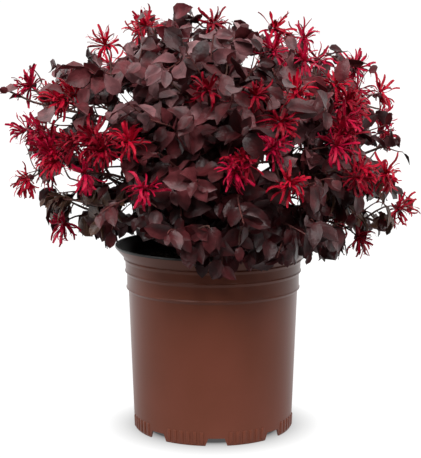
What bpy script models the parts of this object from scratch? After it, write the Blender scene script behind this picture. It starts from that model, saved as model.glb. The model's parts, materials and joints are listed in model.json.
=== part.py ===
"""A Chinese fringe flower in its nursery pot, one solid for each sub-part.

Metres, +Z up. The origin is the middle of the pot's flat underside, and the front of the plant faces -Y.
The shrub has a short flared foot in the potting mix, seven boughs with six side limbs, and thirteen
masses of foliage. Each mass is twigs grown by one seeded rule, with leaves and blossoms fused on.
"""

import math
import random

import bmesh
import bpy
from mathutils import Matrix, Vector
from mathutils.bvhtree import BVHTree

UP = Vector((0, 0, 1))
GAP = 0.0003  # between neighbouring pieces

# Pot
POT_HEIGHT = 0.215
POT_SIDES = 36
WALL = 0.0017
FOOT_RADIUS = 0.0923
FOOT_RING = 0.0024
FOOT_BEVEL = 0.0010
BODY_TOP = 0.1645
BODY_TOP_RADIUS = 0.0981
LOWER_BAND_TOP = 0.1840
LOWER_BAND_RADIUS = 0.0999
UPPER_BAND_TOP = 0.1980
UPPER_BAND_RADIUS = 0.1014
BAND_STEP = 0.0013
RIM_RADIUS = 0.1135
LIP_HEIGHT = 0.0026
LIP_WIDTH = 0.0032
PAD_RADIUS = 0.0560
PAD_SLOPE = 0.0045
CHANNEL_HEIGHT = 0.0100
FLOOR = 0.0018
NOTCHES = 8
NOTCH_TURN = math.radians(2.3)
NOTCH_WIDTH = 0.0250
NOTCH_TOP_WIDTH = 0.0185
NOTCH_HEIGHT = 0.0088
DRAIN_LENGTH = 0.0140
DRAIN_WIDTH = 0.0070
DRAIN_RADIUS = 0.0760

# Potting mix
MIX_LEVEL = 0.1920
MIX_CROWN = 0.0035  # how much higher it lies round the stem
MIX_FLAT_RADIUS = 0.0190
MIX_ROUGHNESS = 0.0012

# Stem
STEM_BASE_RADIUS = 0.0085
STEM_HEIGHT = 0.0300
STEM_TOP_RADIUS = 0.0068
STEM_LEAN = Vector((0.0022, -0.0012, 0))
STEM_SIDES = 15
STEM_RINGS = 5
FLARE = 0.75  # how much wider the stem is at its foot
FLARE_LOBES = 5
FORK_LENGTH = 0.0240
FORK_TILT = math.radians(47)
FORK_BASE_RADIUS = 0.0052
FORK_TIP_RADIUS = 0.0043

# Crown: two rings of masses and one on top, in an outline that is half of one ellipsoid over half of
# another, and that leans to the left as it rises
HEART = Vector((0, 0, 0.300))
CROWN_SPREAD = 0.236
CROWN_DEPTH = 0.230
CROWN_RISE = 0.180
CROWN_DROP = 0.118
CROWN_LEAN = -0.13
OUTLINE_SLACK = 1.05  # how far past the outline a leaf's tip may reach
RING_MASSES = 6
LOW_MASS_RADIUS = 0.150
LOW_MASS_HEIGHT = 0.268
HIGH_MASS_RADIUS = 0.106
HIGH_MASS_HEIGHT = 0.372
TOP_MASS_HEIGHT = 0.418
CELL_MARGIN = 0.0006
POT_CLEARANCE = 0.0015
LOW_NAMES = ("right", "back_right", "back_left", "left", "front_left", "front_right")
HIGH_NAMES = ("right_back", "back", "left_back", "left_front", "front", "right_front")

# Limbs
LOW_FOOT_RADIUS = 0.084
LOW_FOOT_HEIGHT = 0.276
HIGH_FOOT_RADIUS = 0.062
HIGH_FOOT_HEIGHT = 0.322
TOP_FOOT_HEIGHT = 0.345
LIMB_SIDES = 6
LIMB_POINTS = 5
BOUGH_TIP_RADIUS = 0.0027
SIDE_LIMB_RADIUS = 0.0034
SIDE_LIMB_TIP_RADIUS = 0.0024
SIDE_LIMB_SEGMENT = 1  # the stretch of the bough that its side limb springs from
LIMB_WANDER = 0.0030
LIMB_CLEARANCE = 0.0009

# Foliage
SHOOT_SPACING = 0.0550
SHOOT_CHOICE = 8  # places tried for each shoot that there is room for
SHOOT_DEPTH = (0.76, 0.92)  # where shoots end, as a share of the way from heart to outline
SEEN_DEPTH = 0.90
TWIG_SIDES = 3
STEM_TWIG_RADII = (0.0022, 0.0012)
SIDE_TWIG_RADII = (0.0016, 0.0009)
TWIG_ROOTS = (0.12, 0.25, 0.38, 0.50, 0.62, 0.75)  # where on a twig another may spring
LEAF_LENGTH = (0.047, 0.060)
LEAF_WIDTH = 0.64  # share of the leaf's length
LEAF_SHOULDERS = ((0.38, 0.96), (0.70, 0.82))  # shares of the length, and of half the width
LEAF_THICKNESS = 0.0016
LEAF_ROOT = 0.3  # how far from the twig's middle a leaf begins, as a share of the twig's radius
LEAF_NECK = 0.16  # the share of a leaf next to its twig that may touch it
LEAF_SPACING = 0.0146
LEAF_TRIES = 30
FIRST_LEAF = 0.25  # the share of a twig next to its root that is bare
MASS_TRIES = 4
PETAL_LENGTH = (0.0195, 0.0250)
PETAL_TRIM = 0.80  # what is left of a petal each time it is cut to keep to its space
BLOSSOM_CORE = 0.0042
BLOSSOM_TRIES = 4
BLOSSOM_SHARE = 0.24  # of the shoots on the sides and the back

# The front as the eye sees it. Each place is where the line of sight crosses the plane of the pot's
# axis: millimetres right of the axis, and above the ground
EYE = Vector((0, -1.52, 0.455))
SEEN_BLOSSOMS = (
    (-122, 442), (-76, 464), (1, 467), (69, 461), (103, 450), (120, 425), (196, 397),
    (-208, 396), (-158, 388), (-6, 391), (49, 385), (94, 387), (138, 398), (160, 373),
    (-213, 346), (-186, 322), (-138, 338), (-96, 332), (24, 300), (68, 327), (88, 284), (146, 343),
    (-213, 290), (-148, 296), (-79, 277), (-173, 238), (170, 300), (200, 296), (214, 256), (168, 222),
)  # fmt: skip
SEEN_SHOOTS = (
    (-234, 391), (-60, 478), (20, 478), (130, 440), (205, 372), (226, 335), (205, 225), (112, 204),
    (-120, 205), (-185, 262), (-222, 350), (30, 212), (-30, 218), (-78, 226), (-4, 232), (66, 224),
)  # fmt: skip

SEED = 4


def seeded(purpose):
    return random.Random(f"{purpose} {SEED}")


def random_vector(rng, size):
    return Vector([rng.uniform(-1, 1) for _ in range(3)]) * size


# Materials


def linear(value):
    """One sRGB channel, from 0 to 255, as the linear number that a shader takes."""
    share = value / 255
    return share / 12.92 if share <= 0.04045 else ((share + 0.055) / 1.055) ** 2.4


def material(name, colour, roughness, metallic=0.0):
    made = bpy.data.materials.new(name)
    made.use_nodes = True
    shader = made.node_tree.nodes["Principled BSDF"]
    channels = (int(colour[i : i + 2], 16) for i in (1, 3, 5))
    shader.inputs["Base Color"].default_value = (*map(linear, channels), 1)
    shader.inputs["Roughness"].default_value = roughness
    shader.inputs["Metallic"].default_value = metallic
    return made


# Meshes


def object_of(name, bm, materials):
    """The bmesh as an object, with its faces pointing out."""
    bmesh.ops.recalc_face_normals(bm, faces=bm.faces)
    mesh = bpy.data.meshes.new(name)
    bm.to_mesh(mesh)
    bm.free()
    for slot in materials:
        mesh.materials.append(slot)
    made = bpy.data.objects.new(name, mesh)
    bpy.context.scene.collection.objects.link(made)
    return made


def turned(profile, sides):
    """A solid turned round Z from (radius, height) points, with a flat disc at each end."""
    bm = bmesh.new()
    points = [bm.verts.new((radius, 0, height)) for radius, height in profile]
    edges = [bm.edges.new(pair) for pair in zip(points, points[1:])]
    bmesh.ops.spin(
        bm,
        geom=points + edges,
        axis=UP,
        cent=(0, 0, 0),
        steps=sides,
        angle=math.tau,
        use_merge=True,
        use_duplicate=False,
    )
    ends = (profile[0], profile[-1])
    for radius, height in ends:
        rim = [
            edge
            for edge in bm.edges
            if edge.is_boundary
            and all(abs(v.co.z - height) < 1e-6 and abs(v.co.xy.length - radius) < 1e-6 for v in edge.verts)
        ]
        bmesh.ops.contextual_create(bm, geom=rim)
    return bm


def tube_mesh(points, radii, sides, first_way):
    """A closed limb through the points, with a radius at each, whose foot is square to first_way."""
    tangents = [first_way]
    for before, after in zip(points, points[2:] + points[-1:]):
        tangents.append((after - before).normalized())
    bm = bmesh.new()
    across = tangents[0].orthogonal().normalized()
    rings = []
    for point, radius, tangent in zip(points, radii, tangents):
        across = (across - tangent * across.dot(tangent)).normalized()
        beside = tangent.cross(across)
        ring = []
        for k in range(sides):
            turn = math.tau * k / sides
            offset = across * math.cos(turn) + beside * math.sin(turn)
            ring.append(bm.verts.new(point + offset * radius))
        rings.append(ring)
    bm.faces.new(reversed(rings[0]))
    bm.faces.new(rings[-1])
    for low, high in zip(rings, rings[1:]):
        for k in range(sides):
            after = (k + 1) % sides
            bm.faces.new((low[k], low[after], high[after], high[k]))
    return bm


def tree_of(bm):
    """A search tree of the bmesh, which is freed."""
    tree = BVHTree.FromBMesh(bm)
    bm.free()
    return tree


def meets(tree, others):
    return any(tree.overlap(other) for other in others)


def combined(name, body, others, operation="UNION"):
    """Joins the other objects to the body, or cuts them from it. False if some had to be left out.

    Where they can't all be joined into one closed surface, they are added one by one, and any that
    spoils it is left out.
    """
    group = bpy.data.collections.new(name + "_parts")
    bpy.context.scene.collection.children.link(group)
    for other in others:
        bpy.context.scene.collection.objects.unlink(other)
        group.objects.link(other)
    modifier = body.modifiers.new("join", "BOOLEAN")
    modifier.operation = operation
    modifier.operand_type = "COLLECTION"
    modifier.collection = group
    mesh = joined(body, modifier)
    whole = mesh is not None
    if not whole:
        for other in others:
            group.objects.unlink(other)
        for other in others:
            group.objects.link(other)
            larger = joined(body, modifier)
            if larger is None:
                group.objects.unlink(other)
            else:
                mesh = larger
    body.modifiers.remove(modifier)
    body.data = mesh
    for other in others:
        bpy.data.objects.remove(other)
    bpy.data.collections.remove(group)
    return whole


def joined(body, modifier):
    """The modifier's result as one closed surface of triangles, or None if it can't be made that."""
    for modifier.solver in ("EXACT", "MANIFOLD"):
        graph = bpy.context.evaluated_depsgraph_get()
        graph.update()
        mesh = bpy.data.meshes.new_from_object(body.evaluated_get(graph))
        for method in ("BEAUTY", "EAR_CLIP"):
            bm = bmesh.new()
            bm.from_mesh(mesh)
            bmesh.ops.triangulate(bm, faces=bm.faces, ngon_method=method)
            keep_largest(bm)
            closed = is_closed(bm)
            if closed:
                bm.to_mesh(mesh)
            bm.free()
            if closed:
                return mesh
    return None


def keep_largest(bm):
    """Drops the loose scraps that a union or a cut leaves."""
    unseen = set(bm.verts)
    pieces = []
    while unseen:
        front = [unseen.pop()]
        piece = set(front)
        while front:
            for edge in front.pop().link_edges:
                for vertex in unseen.intersection(edge.verts):
                    unseen.discard(vertex)
                    piece.add(vertex)
                    front.append(vertex)
        pieces.append(piece)
    largest = max(pieces, key=len)
    extra = [vertex for vertex in bm.verts if vertex not in largest]
    bmesh.ops.delete(bm, geom=extra, context="VERTS")


def is_closed(bm):
    """True if the faces run along every edge as often one way as the other, so that none is missing."""
    bm.verts.index_update()
    runs = {}
    for face in bm.faces:
        corners = [vertex.index for vertex in face.verts]
        for start, end in zip(corners, corners[1:] + corners[:1]):
            edge = (min(start, end), max(start, end))
            runs[edge] = runs.get(edge, 0) + (1 if start < end else -1)
    return not any(runs.values())


# Pot


def wall_radius(height):
    """The outer radius of the pot's straight body at a height."""
    return FOOT_RADIUS + (BODY_TOP_RADIUS - FOOT_RADIUS) * height / BODY_TOP


def widest_radius(height):
    """The pot's widest radius from the ground up to a height."""
    if height < BODY_TOP:
        return wall_radius(height)
    if height < UPPER_BAND_TOP:
        return UPPER_BAND_RADIUS
    share = (height - UPPER_BAND_TOP) / (POT_HEIGHT - UPPER_BAND_TOP)
    return UPPER_BAND_RADIUS + BAND_STEP + (RIM_RADIUS - UPPER_BAND_RADIUS) * min(share, 1)


def inner_wall():
    """The pot's inner face from the floor's edge to the rim, as (radius, height) points."""
    return [
        (wall_radius(CHANNEL_HEIGHT) - WALL, CHANNEL_HEIGHT + FLOOR),
        (BODY_TOP_RADIUS - WALL, BODY_TOP),
        (UPPER_BAND_RADIUS - WALL, UPPER_BAND_TOP),
        (RIM_RADIUS - LIP_WIDTH, POT_HEIGHT - LIP_HEIGHT),
    ]


def make_pot(plastic):
    floor_in = [
        (PAD_RADIUS - FLOOR / 2, FLOOR),
        (PAD_RADIUS + PAD_SLOPE - FLOOR / 2, CHANNEL_HEIGHT + FLOOR),
    ]
    lip = [
        (RIM_RADIUS - LIP_WIDTH * 0.7, POT_HEIGHT),
        (RIM_RADIUS - LIP_WIDTH * 0.15, POT_HEIGHT),
        (RIM_RADIUS, POT_HEIGHT - LIP_HEIGHT),
    ]
    bands = [
        (UPPER_BAND_RADIUS + BAND_STEP * 2, UPPER_BAND_TOP),
        (UPPER_BAND_RADIUS, LOWER_BAND_TOP + BAND_STEP),
        (LOWER_BAND_RADIUS, LOWER_BAND_TOP - BAND_STEP / 2),
        (LOWER_BAND_RADIUS, BODY_TOP + BAND_STEP),
        (BODY_TOP_RADIUS, BODY_TOP - BAND_STEP),
    ]
    foot = [
        (FOOT_RADIUS, FOOT_BEVEL),
        (FOOT_RADIUS - FOOT_BEVEL / 2, 0),
        (FOOT_RADIUS - FOOT_RING, 0),
        (FOOT_RADIUS - FOOT_RING, CHANNEL_HEIGHT),
        (PAD_RADIUS + PAD_SLOPE, CHANNEL_HEIGHT),
        (PAD_RADIUS, 0),
    ]
    pot = object_of("pot", turned(floor_in + inner_wall() + lip + bands + foot, POT_SIDES), [plastic])
    combined("pot", pot, notch_cutters() + drain_cutters(), "DIFFERENCE")


def wedge(low_width, high_width, depth, low, high):
    """A box on the X axis that is wider at its foot or its top."""
    bm = bmesh.new()
    bmesh.ops.create_cube(bm, size=1)
    for vertex in bm.verts:
        top = vertex.co.z > 0
        vertex.co.x *= depth
        vertex.co.y *= high_width if top else low_width
        vertex.co.z = high if top else low
    return bm


def cutter_at(bm, radius, turn):
    bmesh.ops.translate(bm, verts=bm.verts, vec=(radius, 0, 0))
    bmesh.ops.rotate(bm, verts=bm.verts, cent=(0, 0, 0), matrix=Matrix.Rotation(turn, 3, "Z"))
    cutter = object_of("cutter", bm, [])
    cutter.hide_render = True
    cutter.display_type = "WIRE"
    return cutter


def notch_turns():
    """The notches' turns round Z. The first is at the front."""
    return [-math.pi / 2 + NOTCH_TURN + math.tau * k / NOTCHES for k in range(NOTCHES)]


def notch_cutters():
    """The openings in the foot ring that let water and air under the pot."""
    middle = FOOT_RADIUS - FOOT_RING / 2
    return [
        cutter_at(wedge(NOTCH_WIDTH, NOTCH_TOP_WIDTH, FOOT_RING * 4, -GAP, NOTCH_HEIGHT), middle, turn)
        for turn in notch_turns()
    ]


def drain_cutters():
    """The drain slots through the floor above the channel."""
    low, high = CHANNEL_HEIGHT / 2, CHANNEL_HEIGHT + FLOOR * 2
    return [
        cutter_at(wedge(DRAIN_LENGTH, DRAIN_LENGTH, DRAIN_WIDTH, low, high), DRAIN_RADIUS, turn)
        for turn in notch_turns()
    ]


def make_potting_mix(bark_mix):
    """The mix fills the pot to below its rim, and lies a little higher round the stem."""
    rng = seeded("potting mix")
    wall = inner_wall()
    low, high = wall[1], wall[2]
    edge = low[0] + (high[0] - low[0]) * (MIX_LEVEL - low[1]) / (high[1] - low[1])
    clear = GAP * 2
    profile = [
        (PAD_RADIUS - FLOOR / 2 - GAP, FLOOR + GAP),
        (PAD_RADIUS + PAD_SLOPE - FLOOR / 2 - GAP, CHANNEL_HEIGHT + FLOOR + GAP),
        (wall[0][0] - clear, wall[0][1] + GAP),
        (wall[1][0] - clear, wall[1][1]),
        (edge - clear, MIX_LEVEL),
        (edge * 0.55, MIX_LEVEL + MIX_CROWN * 0.6),
        (MIX_FLAT_RADIUS, MIX_LEVEL + MIX_CROWN),
    ]
    bm = turned(profile, POT_SIDES)
    loose = [v for v in bm.verts if v.co.z > BODY_TOP and MIX_FLAT_RADIUS * 1.1 < v.co.xy.length < edge * 0.9]
    for vertex in sorted(loose, key=lambda v: (round(v.co.x, 6), round(v.co.y, 6))):
        vertex.co.z += rng.uniform(-1, 1) * MIX_ROUGHNESS
    object_of("potting_mix", bm, [bark_mix])


# Stem and limbs


def leaning(turn, tilt):
    """A unit vector that leans away from vertical by tilt, towards turn."""
    return Vector((math.cos(turn) * math.sin(tilt), math.sin(turn) * math.sin(tilt), math.cos(tilt)))


def ring_point(turn, radius, height):
    return Vector((math.cos(turn) * radius, math.sin(turn) * radius, height))


def low_turn(k):
    return math.tau * k / RING_MASSES


def high_turn(k):
    return math.tau * (k + 0.5) / RING_MASSES


def stem_foot():
    return Vector((0, 0, MIX_LEVEL + MIX_CROWN + GAP))


def fork_root():
    return stem_foot() + UP * (STEM_HEIGHT - FORK_TIP_RADIUS) + STEM_LEAN


def fork_tips():
    """(tip, direction) of the stem's forks: one towards each low mass, then the leader."""
    ways = [leaning(low_turn(k), FORK_TILT) for k in range(RING_MASSES)] + [UP]
    return [(fork_root() + way * FORK_LENGTH, way) for way in ways]


def stem_ring(bm, share):
    """One ring of the stem, whose foot is spread in lobes where the roots begin."""
    fade = (1 - share) ** 3
    radius = STEM_BASE_RADIUS + (STEM_TOP_RADIUS - STEM_BASE_RADIUS) * share
    middle = stem_foot() + UP * STEM_HEIGHT * share + STEM_LEAN * share
    ring = []
    for k in range(STEM_SIDES):
        turn = math.tau * k / STEM_SIDES
        lobe = 0.5 + 0.5 * math.cos(FLARE_LOBES * turn)
        wide = radius * (1 + fade * FLARE * (0.45 + 0.55 * lobe))
        ring.append(bm.verts.new(middle + ring_point(turn, wide, 0)))
    return ring


def make_main_stem(bark):
    """The short stem: a flat cut on the mix, a lobed root flare, and its fork into seven."""
    bm = bmesh.new()
    rings = [stem_ring(bm, (i / (STEM_RINGS - 1)) ** 1.5) for i in range(STEM_RINGS)]
    bm.faces.new(reversed(rings[0]))
    bm.faces.new(rings[-1])
    for low, high in zip(rings, rings[1:]):
        for k in range(STEM_SIDES):
            after = (k + 1) % STEM_SIDES
            bm.faces.new((low[k], low[after], high[after], high[k]))
    stem = object_of("main_stem", bm, [bark])
    radii = between(FORK_BASE_RADIUS, FORK_TIP_RADIUS, 3)
    forks = []
    for tip, way in fork_tips():
        points = [fork_root().lerp(tip, share) for share in (0.02, 0.5, 1)]
        forks.append(object_of("fork", tube_mesh(points, radii, LIMB_SIDES, way), [bark]))
    combined("main_stem", stem, forks)
    return stem


def between(first, last, count):
    """Even steps from first to last."""
    return [first + (last - first) * i / (count - 1) for i in range(count)]


def bezier(start, leaving, arriving, end, share):
    """A point on the cubic curve whose handles are the start plus leaving and the end less arriving."""
    near, far = start + leaving, end - arriving
    rest = 1 - share
    return start * rest**3 + near * (3 * rest**2 * share) + far * (3 * rest * share**2) + end * share**3


def limb_path(start, way, end, end_way, rng):
    """Points from start, leaving along way, to end, arriving along end_way, with a slight wander."""
    length = (end - start).length
    points = []
    for share in between(0, 1, LIMB_POINTS):
        point = bezier(start, way * length * 0.4, end_way * length * 0.35, end, share)
        points.append(point + random_vector(rng, LIMB_WANDER) * math.sin(math.pi * share))
    return points


class Limb:
    """A tapering limb: its points and radii, and a fatter copy of its surface for clearance tests."""

    def __init__(self, name, points, radii, first_way):
        self.name = name
        self.points = points
        self.radii = radii
        self.first_way = first_way
        self.tip = points[-1]
        self.tip_way = (points[-1] - points[-2]).normalized()
        self.near = tree_of(self.tube(LIMB_CLEARANCE))

    def tube(self, extra=0.0):
        radii = [radius + extra for radius in self.radii]
        return tube_mesh(self.points, radii, LIMB_SIDES, self.first_way)


def all_limbs():
    """The boughs, their side limbs and the leader, in the order of the masses that they carry."""
    rng = seeded("limbs")
    forks = fork_tips()
    bough_radii = between(FORK_TIP_RADIUS, BOUGH_TIP_RADIUS, LIMB_POINTS)
    side_radii = between(SIDE_LIMB_RADIUS, SIDE_LIMB_TIP_RADIUS, LIMB_POINTS)
    boughs, side_limbs = [], []
    for k, name in enumerate(LOW_NAMES):
        tip, way = forks[k]
        end = ring_point(low_turn(k), LOW_FOOT_RADIUS, LOW_FOOT_HEIGHT)
        points = limb_path(tip + way * GAP, way, end, leaning(low_turn(k), math.radians(72)), rng)
        boughs.append(Limb(f"bough_{name}", points, bough_radii, way))
    for k, name in enumerate(HIGH_NAMES):
        along = boughs[k].points[SIDE_LIMB_SEGMENT : SIDE_LIMB_SEGMENT + 2]
        root = along[0].lerp(along[1], 0.5)
        end = ring_point(high_turn(k), HIGH_FOOT_RADIUS, HIGH_FOOT_HEIGHT)
        way = ((end - root).normalized() + UP).normalized()
        points = limb_path(root, way, end, leaning(high_turn(k), math.radians(28)), rng)
        side_limbs.append(Limb(f"side_limb_{name}", points, side_radii, way))
    tip, way = forks[-1]
    points = limb_path(tip + way * GAP, way, Vector((0, 0, TOP_FOOT_HEIGHT)), UP, rng)
    return boughs, side_limbs, Limb("bough_top", points, bough_radii, way)


def make_limbs(boughs, side_limbs, leader, bark):
    for limb in boughs + [leader]:
        object_of(limb.name, limb.tube(), [bark])
    for limb, bough in zip(side_limbs, boughs):
        made = object_of(limb.name, limb.tube(), [bark])
        combined(limb.name, made, [object_of("cutter", bough.tube(GAP), [])], "DIFFERENCE")


# Crown


def outline_share(point):
    """0 at the crown's heart, 1 on its outline."""
    off = point - HEART
    rise = CROWN_RISE if off.z > 0 else CROWN_DROP
    right = (off.x - CROWN_LEAN * off.z) / CROWN_SPREAD
    return math.hypot(right, off.y / CROWN_DEPTH, off.z / rise)


def on_outline(way, share):
    """The point that lies at a share of the way from the heart to the outline."""
    return HEART + way * (share / outline_share(HEART + way))


def seen_point(right, height):
    """Where the line of sight through a place, in millimetres, first comes near the outline."""
    place = Vector((right / 1000, 0, height / 1000))
    sight = [EYE.lerp(place, share) for share in between(0.84, 1.04, 80)]
    return min(sight, key=lambda point: max(outline_share(point) - SEEN_DEPTH, 0) * 10 + point.y / 2)


def clear_of_pot(point):
    return point.z > POT_HEIGHT + POT_CLEARANCE or point.xy.length > widest_radius(point.z) + POT_CLEARANCE


class Shoot:
    """Where a twig ends, and whether it ends in a blossom."""

    def __init__(self, point, blossom):
        self.point = point
        self.blossom = blossom


def crown_shoots():
    """Every shoot: those that the front shows, then all that keep apart on a spiral over the outline."""
    rng = seeded("shoots")
    shoots = [Shoot(seen_point(*place), True) for place in SEEN_BLOSSOMS]
    shoots += [Shoot(seen_point(*place), False) for place in SEEN_SHOOTS]
    area = math.pi * (CROWN_SPREAD + CROWN_DEPTH) * (CROWN_RISE + CROWN_DROP) * 1.25
    count = int(area / SHOOT_SPACING**2 * SHOOT_CHOICE)
    golden = math.pi * (3 - math.sqrt(5))
    for i in range(count):
        height = 1 - 2 * (i + 0.5) / count
        way = ring_point(golden * i + rng.uniform(-0.1, 0.1), math.sqrt(1 - height * height), height)
        point = on_outline(way, rng.uniform(*SHOOT_DEPTH))
        blossom = rng.random() < BLOSSOM_SHARE and point.y > -0.09
        apart = min((point - other.point).length for other in shoots) > SHOOT_SPACING
        if apart and clear_of_pot(point):
            shoots.append(Shoot(point, blossom))
    return shoots


def mass_centres():
    low = [ring_point(low_turn(k), LOW_MASS_RADIUS, LOW_MASS_HEIGHT) for k in range(RING_MASSES)]
    high = [ring_point(high_turn(k), HIGH_MASS_RADIUS, HIGH_MASS_HEIGHT) for k in range(RING_MASSES)]
    return low + high + [Vector((0, 0, TOP_MASS_HEIGHT))]


def mass_names():
    low = [f"foliage_low_{name}" for name in LOW_NAMES]
    high = [f"foliage_high_{name}" for name in HIGH_NAMES]
    return low + high + ["foliage_top"]


class Space:
    """The space that a mass keeps to: nearer its own centre than any other, within the outline."""

    def __init__(self, centres, k):
        self.walls = []
        for centre in centres[:k] + centres[k + 1 :]:
            way = (centre - centres[k]).normalized()
            self.walls.append((way, way.dot((centre + centres[k]) / 2) - CELL_MARGIN))

    def holds(self, points, slack=OUTLINE_SLACK):
        return all(
            all(way.dot(point) < limit for way, limit in self.walls)
            and outline_share(point) < slack
            and clear_of_pot(point)
            for point in points
        )


# Twigs, leaves and blossoms


class Twig:
    def __init__(self, points, radii, first_way, along, blossom):
        self.points = points
        self.radii = radii
        self.first_way = first_way
        self.along = along  # path length from the mass's foot to the twig's root
        self.blossom = blossom
        self.length = sum((after - before).length for before, after in zip(points, points[1:]))

    def at(self, share):
        """(point, direction) at a share of the way along."""
        place = share * (len(self.points) - 1)
        i = min(int(place), len(self.points) - 2)
        point = self.points[i].lerp(self.points[i + 1], place - i)
        return point, (self.points[i + 1] - self.points[i]).normalized()

    def radius(self, share):
        return self.radii[0] + (self.radii[-1] - self.radii[0]) * share

    def tube(self):
        return tube_mesh(self.points, self.radii, TWIG_SIDES, self.first_way)


def resting_way(point):
    """The way a shoot's end points: outwards and up on top, outwards and drooping below."""
    outward = (point - HEART).normalized()
    return (outward * 0.8 + UP * (0.9 * outward.z - 0.15)).normalized()


def twig_to(shoot, root, way, radii, along, count):
    length = (shoot.point - root).length
    leaving, arriving = way * length * 0.32, resting_way(shoot.point) * length * 0.35
    points = [bezier(root, leaving, arriving, shoot.point, share) for share in between(0, 1, count)]
    return Twig(points, between(*radii, count), way, along, shoot.blossom)


def best_root(shoot, twigs):
    """The place on a twig from which a new twig reaches the shoot soonest without turning back."""
    best = None
    for twig in twigs:
        for share in TWIG_ROOTS:
            point, way = twig.at(share)
            to_shoot = shoot.point - point
            along = twig.along + twig.length * share
            back = max(0, 0.35 - to_shoot.normalized().dot(way))
            cost = to_shoot.length * (1 + back) + along * 0.4
            if best is None or cost < best[0]:
                best = (cost, point, way, along)
    return best[1:]


def grow_twigs(limb, space, centre, shoots, solid_near):
    """A stem from the limb's tip, then a twig to every shoot from the nearest twig that is there."""
    foot = limb.tip + limb.tip_way * GAP
    heading = (centre - foot).normalized()
    leader = max(shoots, key=lambda shoot: (shoot.point - foot).dot(heading))
    twigs = [twig_to(leader, foot, limb.tip_way, STEM_TWIG_RADII, 0, 5)]
    for shoot in sorted(shoots, key=lambda shoot: (shoot.point - foot).length):
        if shoot is leader:
            continue
        point, way, along = best_root(shoot, twigs)
        leaving = (way * 0.5 + (shoot.point - point).normalized() * 0.8).normalized()
        twig = twig_to(shoot, point, leaving, SIDE_TWIG_RADII, along, 3)
        if space.holds(twig.points[1:]) and not meets(tree_of(twig.tube()), solid_near):
            twigs.append(twig)
    return twigs


def placed(point, way, facing):
    """A matrix at point whose X runs along way and whose Z is as near facing as it can be."""
    x = way.normalized()
    z = (facing - x * facing.dot(x)).normalized()
    matrix = Matrix((x, z.cross(x), z)).transposed().to_4x4()
    matrix.translation = point
    return matrix


def leaf_mesh(length, start):
    """An oval leaf of eight faces along +X: four across its flat top, and two on each side of its keel."""
    half = length * LEAF_WIDTH / 2
    bm = bmesh.new()
    base = bm.verts.new((start, 0, 0))
    tip = bm.verts.new((length, 0, 0))
    pairs = [
        [bm.verts.new((length * along, half * wide * side, LEAF_THICKNESS)) for side in (1, -1)]
        for along, wide in LEAF_SHOULDERS
    ]
    (left, right), (far_left, far_right) = pairs
    bm.faces.new((base, right, left))
    bm.faces.new((left, right, far_right, far_left))
    bm.faces.new((far_left, far_right, tip))
    bm.faces.new((base, left, far_left, tip))
    bm.faces.new((tip, far_right, right, base))
    bmesh.ops.triangulate(bm, faces=bm.faces)
    for face in bm.faces:
        face.material_index = 1
    return bm


def leaf_placed(point, way, side, rng):
    """A matrix for a leaf on one side of its twig, drooping, with its face turned to the light."""
    outward = (point - HEART).normalized()
    facing = (outward + UP * 0.45 + random_vector(rng, 0.45)).normalized()
    across = facing.cross(way).normalized()
    leaf_way = way * 0.45 + across * side * 0.8 - UP * 0.32 + random_vector(rng, 0.35)
    return placed(point, leaf_way, facing)


def blossom_at(point, way, space, rng):
    """A tuft of ribbon petals: each face of a small core, but for those behind, drawn out to a point."""
    bm = bmesh.new()
    bmesh.ops.create_icosphere(bm, subdivisions=1, radius=BLOSSOM_CORE)
    front = [face for face in bm.faces if face.normal.x > -0.3]
    tips = bmesh.ops.poke(bm, faces=front)["verts"]
    for tip in sorted(tips, key=lambda v: (round(v.co.x, 5), round(v.co.y, 5), round(v.co.z, 5))):
        petal_way = (tip.co.normalized() + random_vector(rng, 0.18)).normalized()
        tip.co = petal_way * rng.uniform(*PETAL_LENGTH)
    bm.transform(placed(point, way, UP + random_vector(rng, 0.5)))
    for tip in tips:
        while not space.holds([tip.co]) and (tip.co - point).length > BLOSSOM_CORE * 1.5:
            tip.co = point.lerp(tip.co, PETAL_TRIM)
    for face in bm.faces:
        face.material_index = 2
    return bm


def fitting_blossom(twig, space, solid_near, rng):
    """The blossom that ends a twig, or None if its space has no room for one."""
    for _ in range(BLOSSOM_TRIES):
        bm = blossom_at(*twig.at(1), space, rng)
        if space.holds([vertex.co for vertex in bm.verts]) and not meets(BVHTree.FromBMesh(bm), solid_near):
            return bm
        bm.free()
    return None


def fitting_leaf(twig, share, side, space, solid_near, taken, rng):
    """A leaf that keeps to its space and touches nothing but its own twig, or None."""
    for k in range(LEAF_TRIES):
        length = rng.uniform(*LEAF_LENGTH) * (1 - 0.015 * k)
        matrix = leaf_placed(*twig.at(share), side, rng)
        leaf = leaf_mesh(length, twig.radius(share) * LEAF_ROOT)
        leaf.transform(matrix)
        if space.holds([vertex.co for vertex in leaf.verts]) and not meets(BVHTree.FromBMesh(leaf), taken):
            blade = leaf_mesh(length, length * LEAF_NECK)
            blade.transform(matrix)
            if not meets(tree_of(blade), solid_near):
                return leaf
        leaf.free()
    return None


def make_mass(name, limb, space, centre, shoots, solid_near, materials):
    """One mass of foliage, grown again from another seed where its pieces can't all be joined."""
    for attempt in range(MASS_TRIES):
        rng = seeded(f"{name} {attempt}")
        twigs = grow_twigs(limb, space, centre, shoots, solid_near)
        taken = []
        pieces = [object_of("twig", twig.tube(), materials) for twig in twigs[1:]]
        pieces += grow_blossoms(twigs, space, solid_near, taken, rng, materials)
        pieces += grow_leaves(twigs, space, solid_near, taken, rng, materials)
        mass = object_of(name, twigs[0].tube(), materials)
        if combined(name, mass, pieces):
            return
        if attempt < MASS_TRIES - 1:
            bpy.data.objects.remove(mass)


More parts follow.
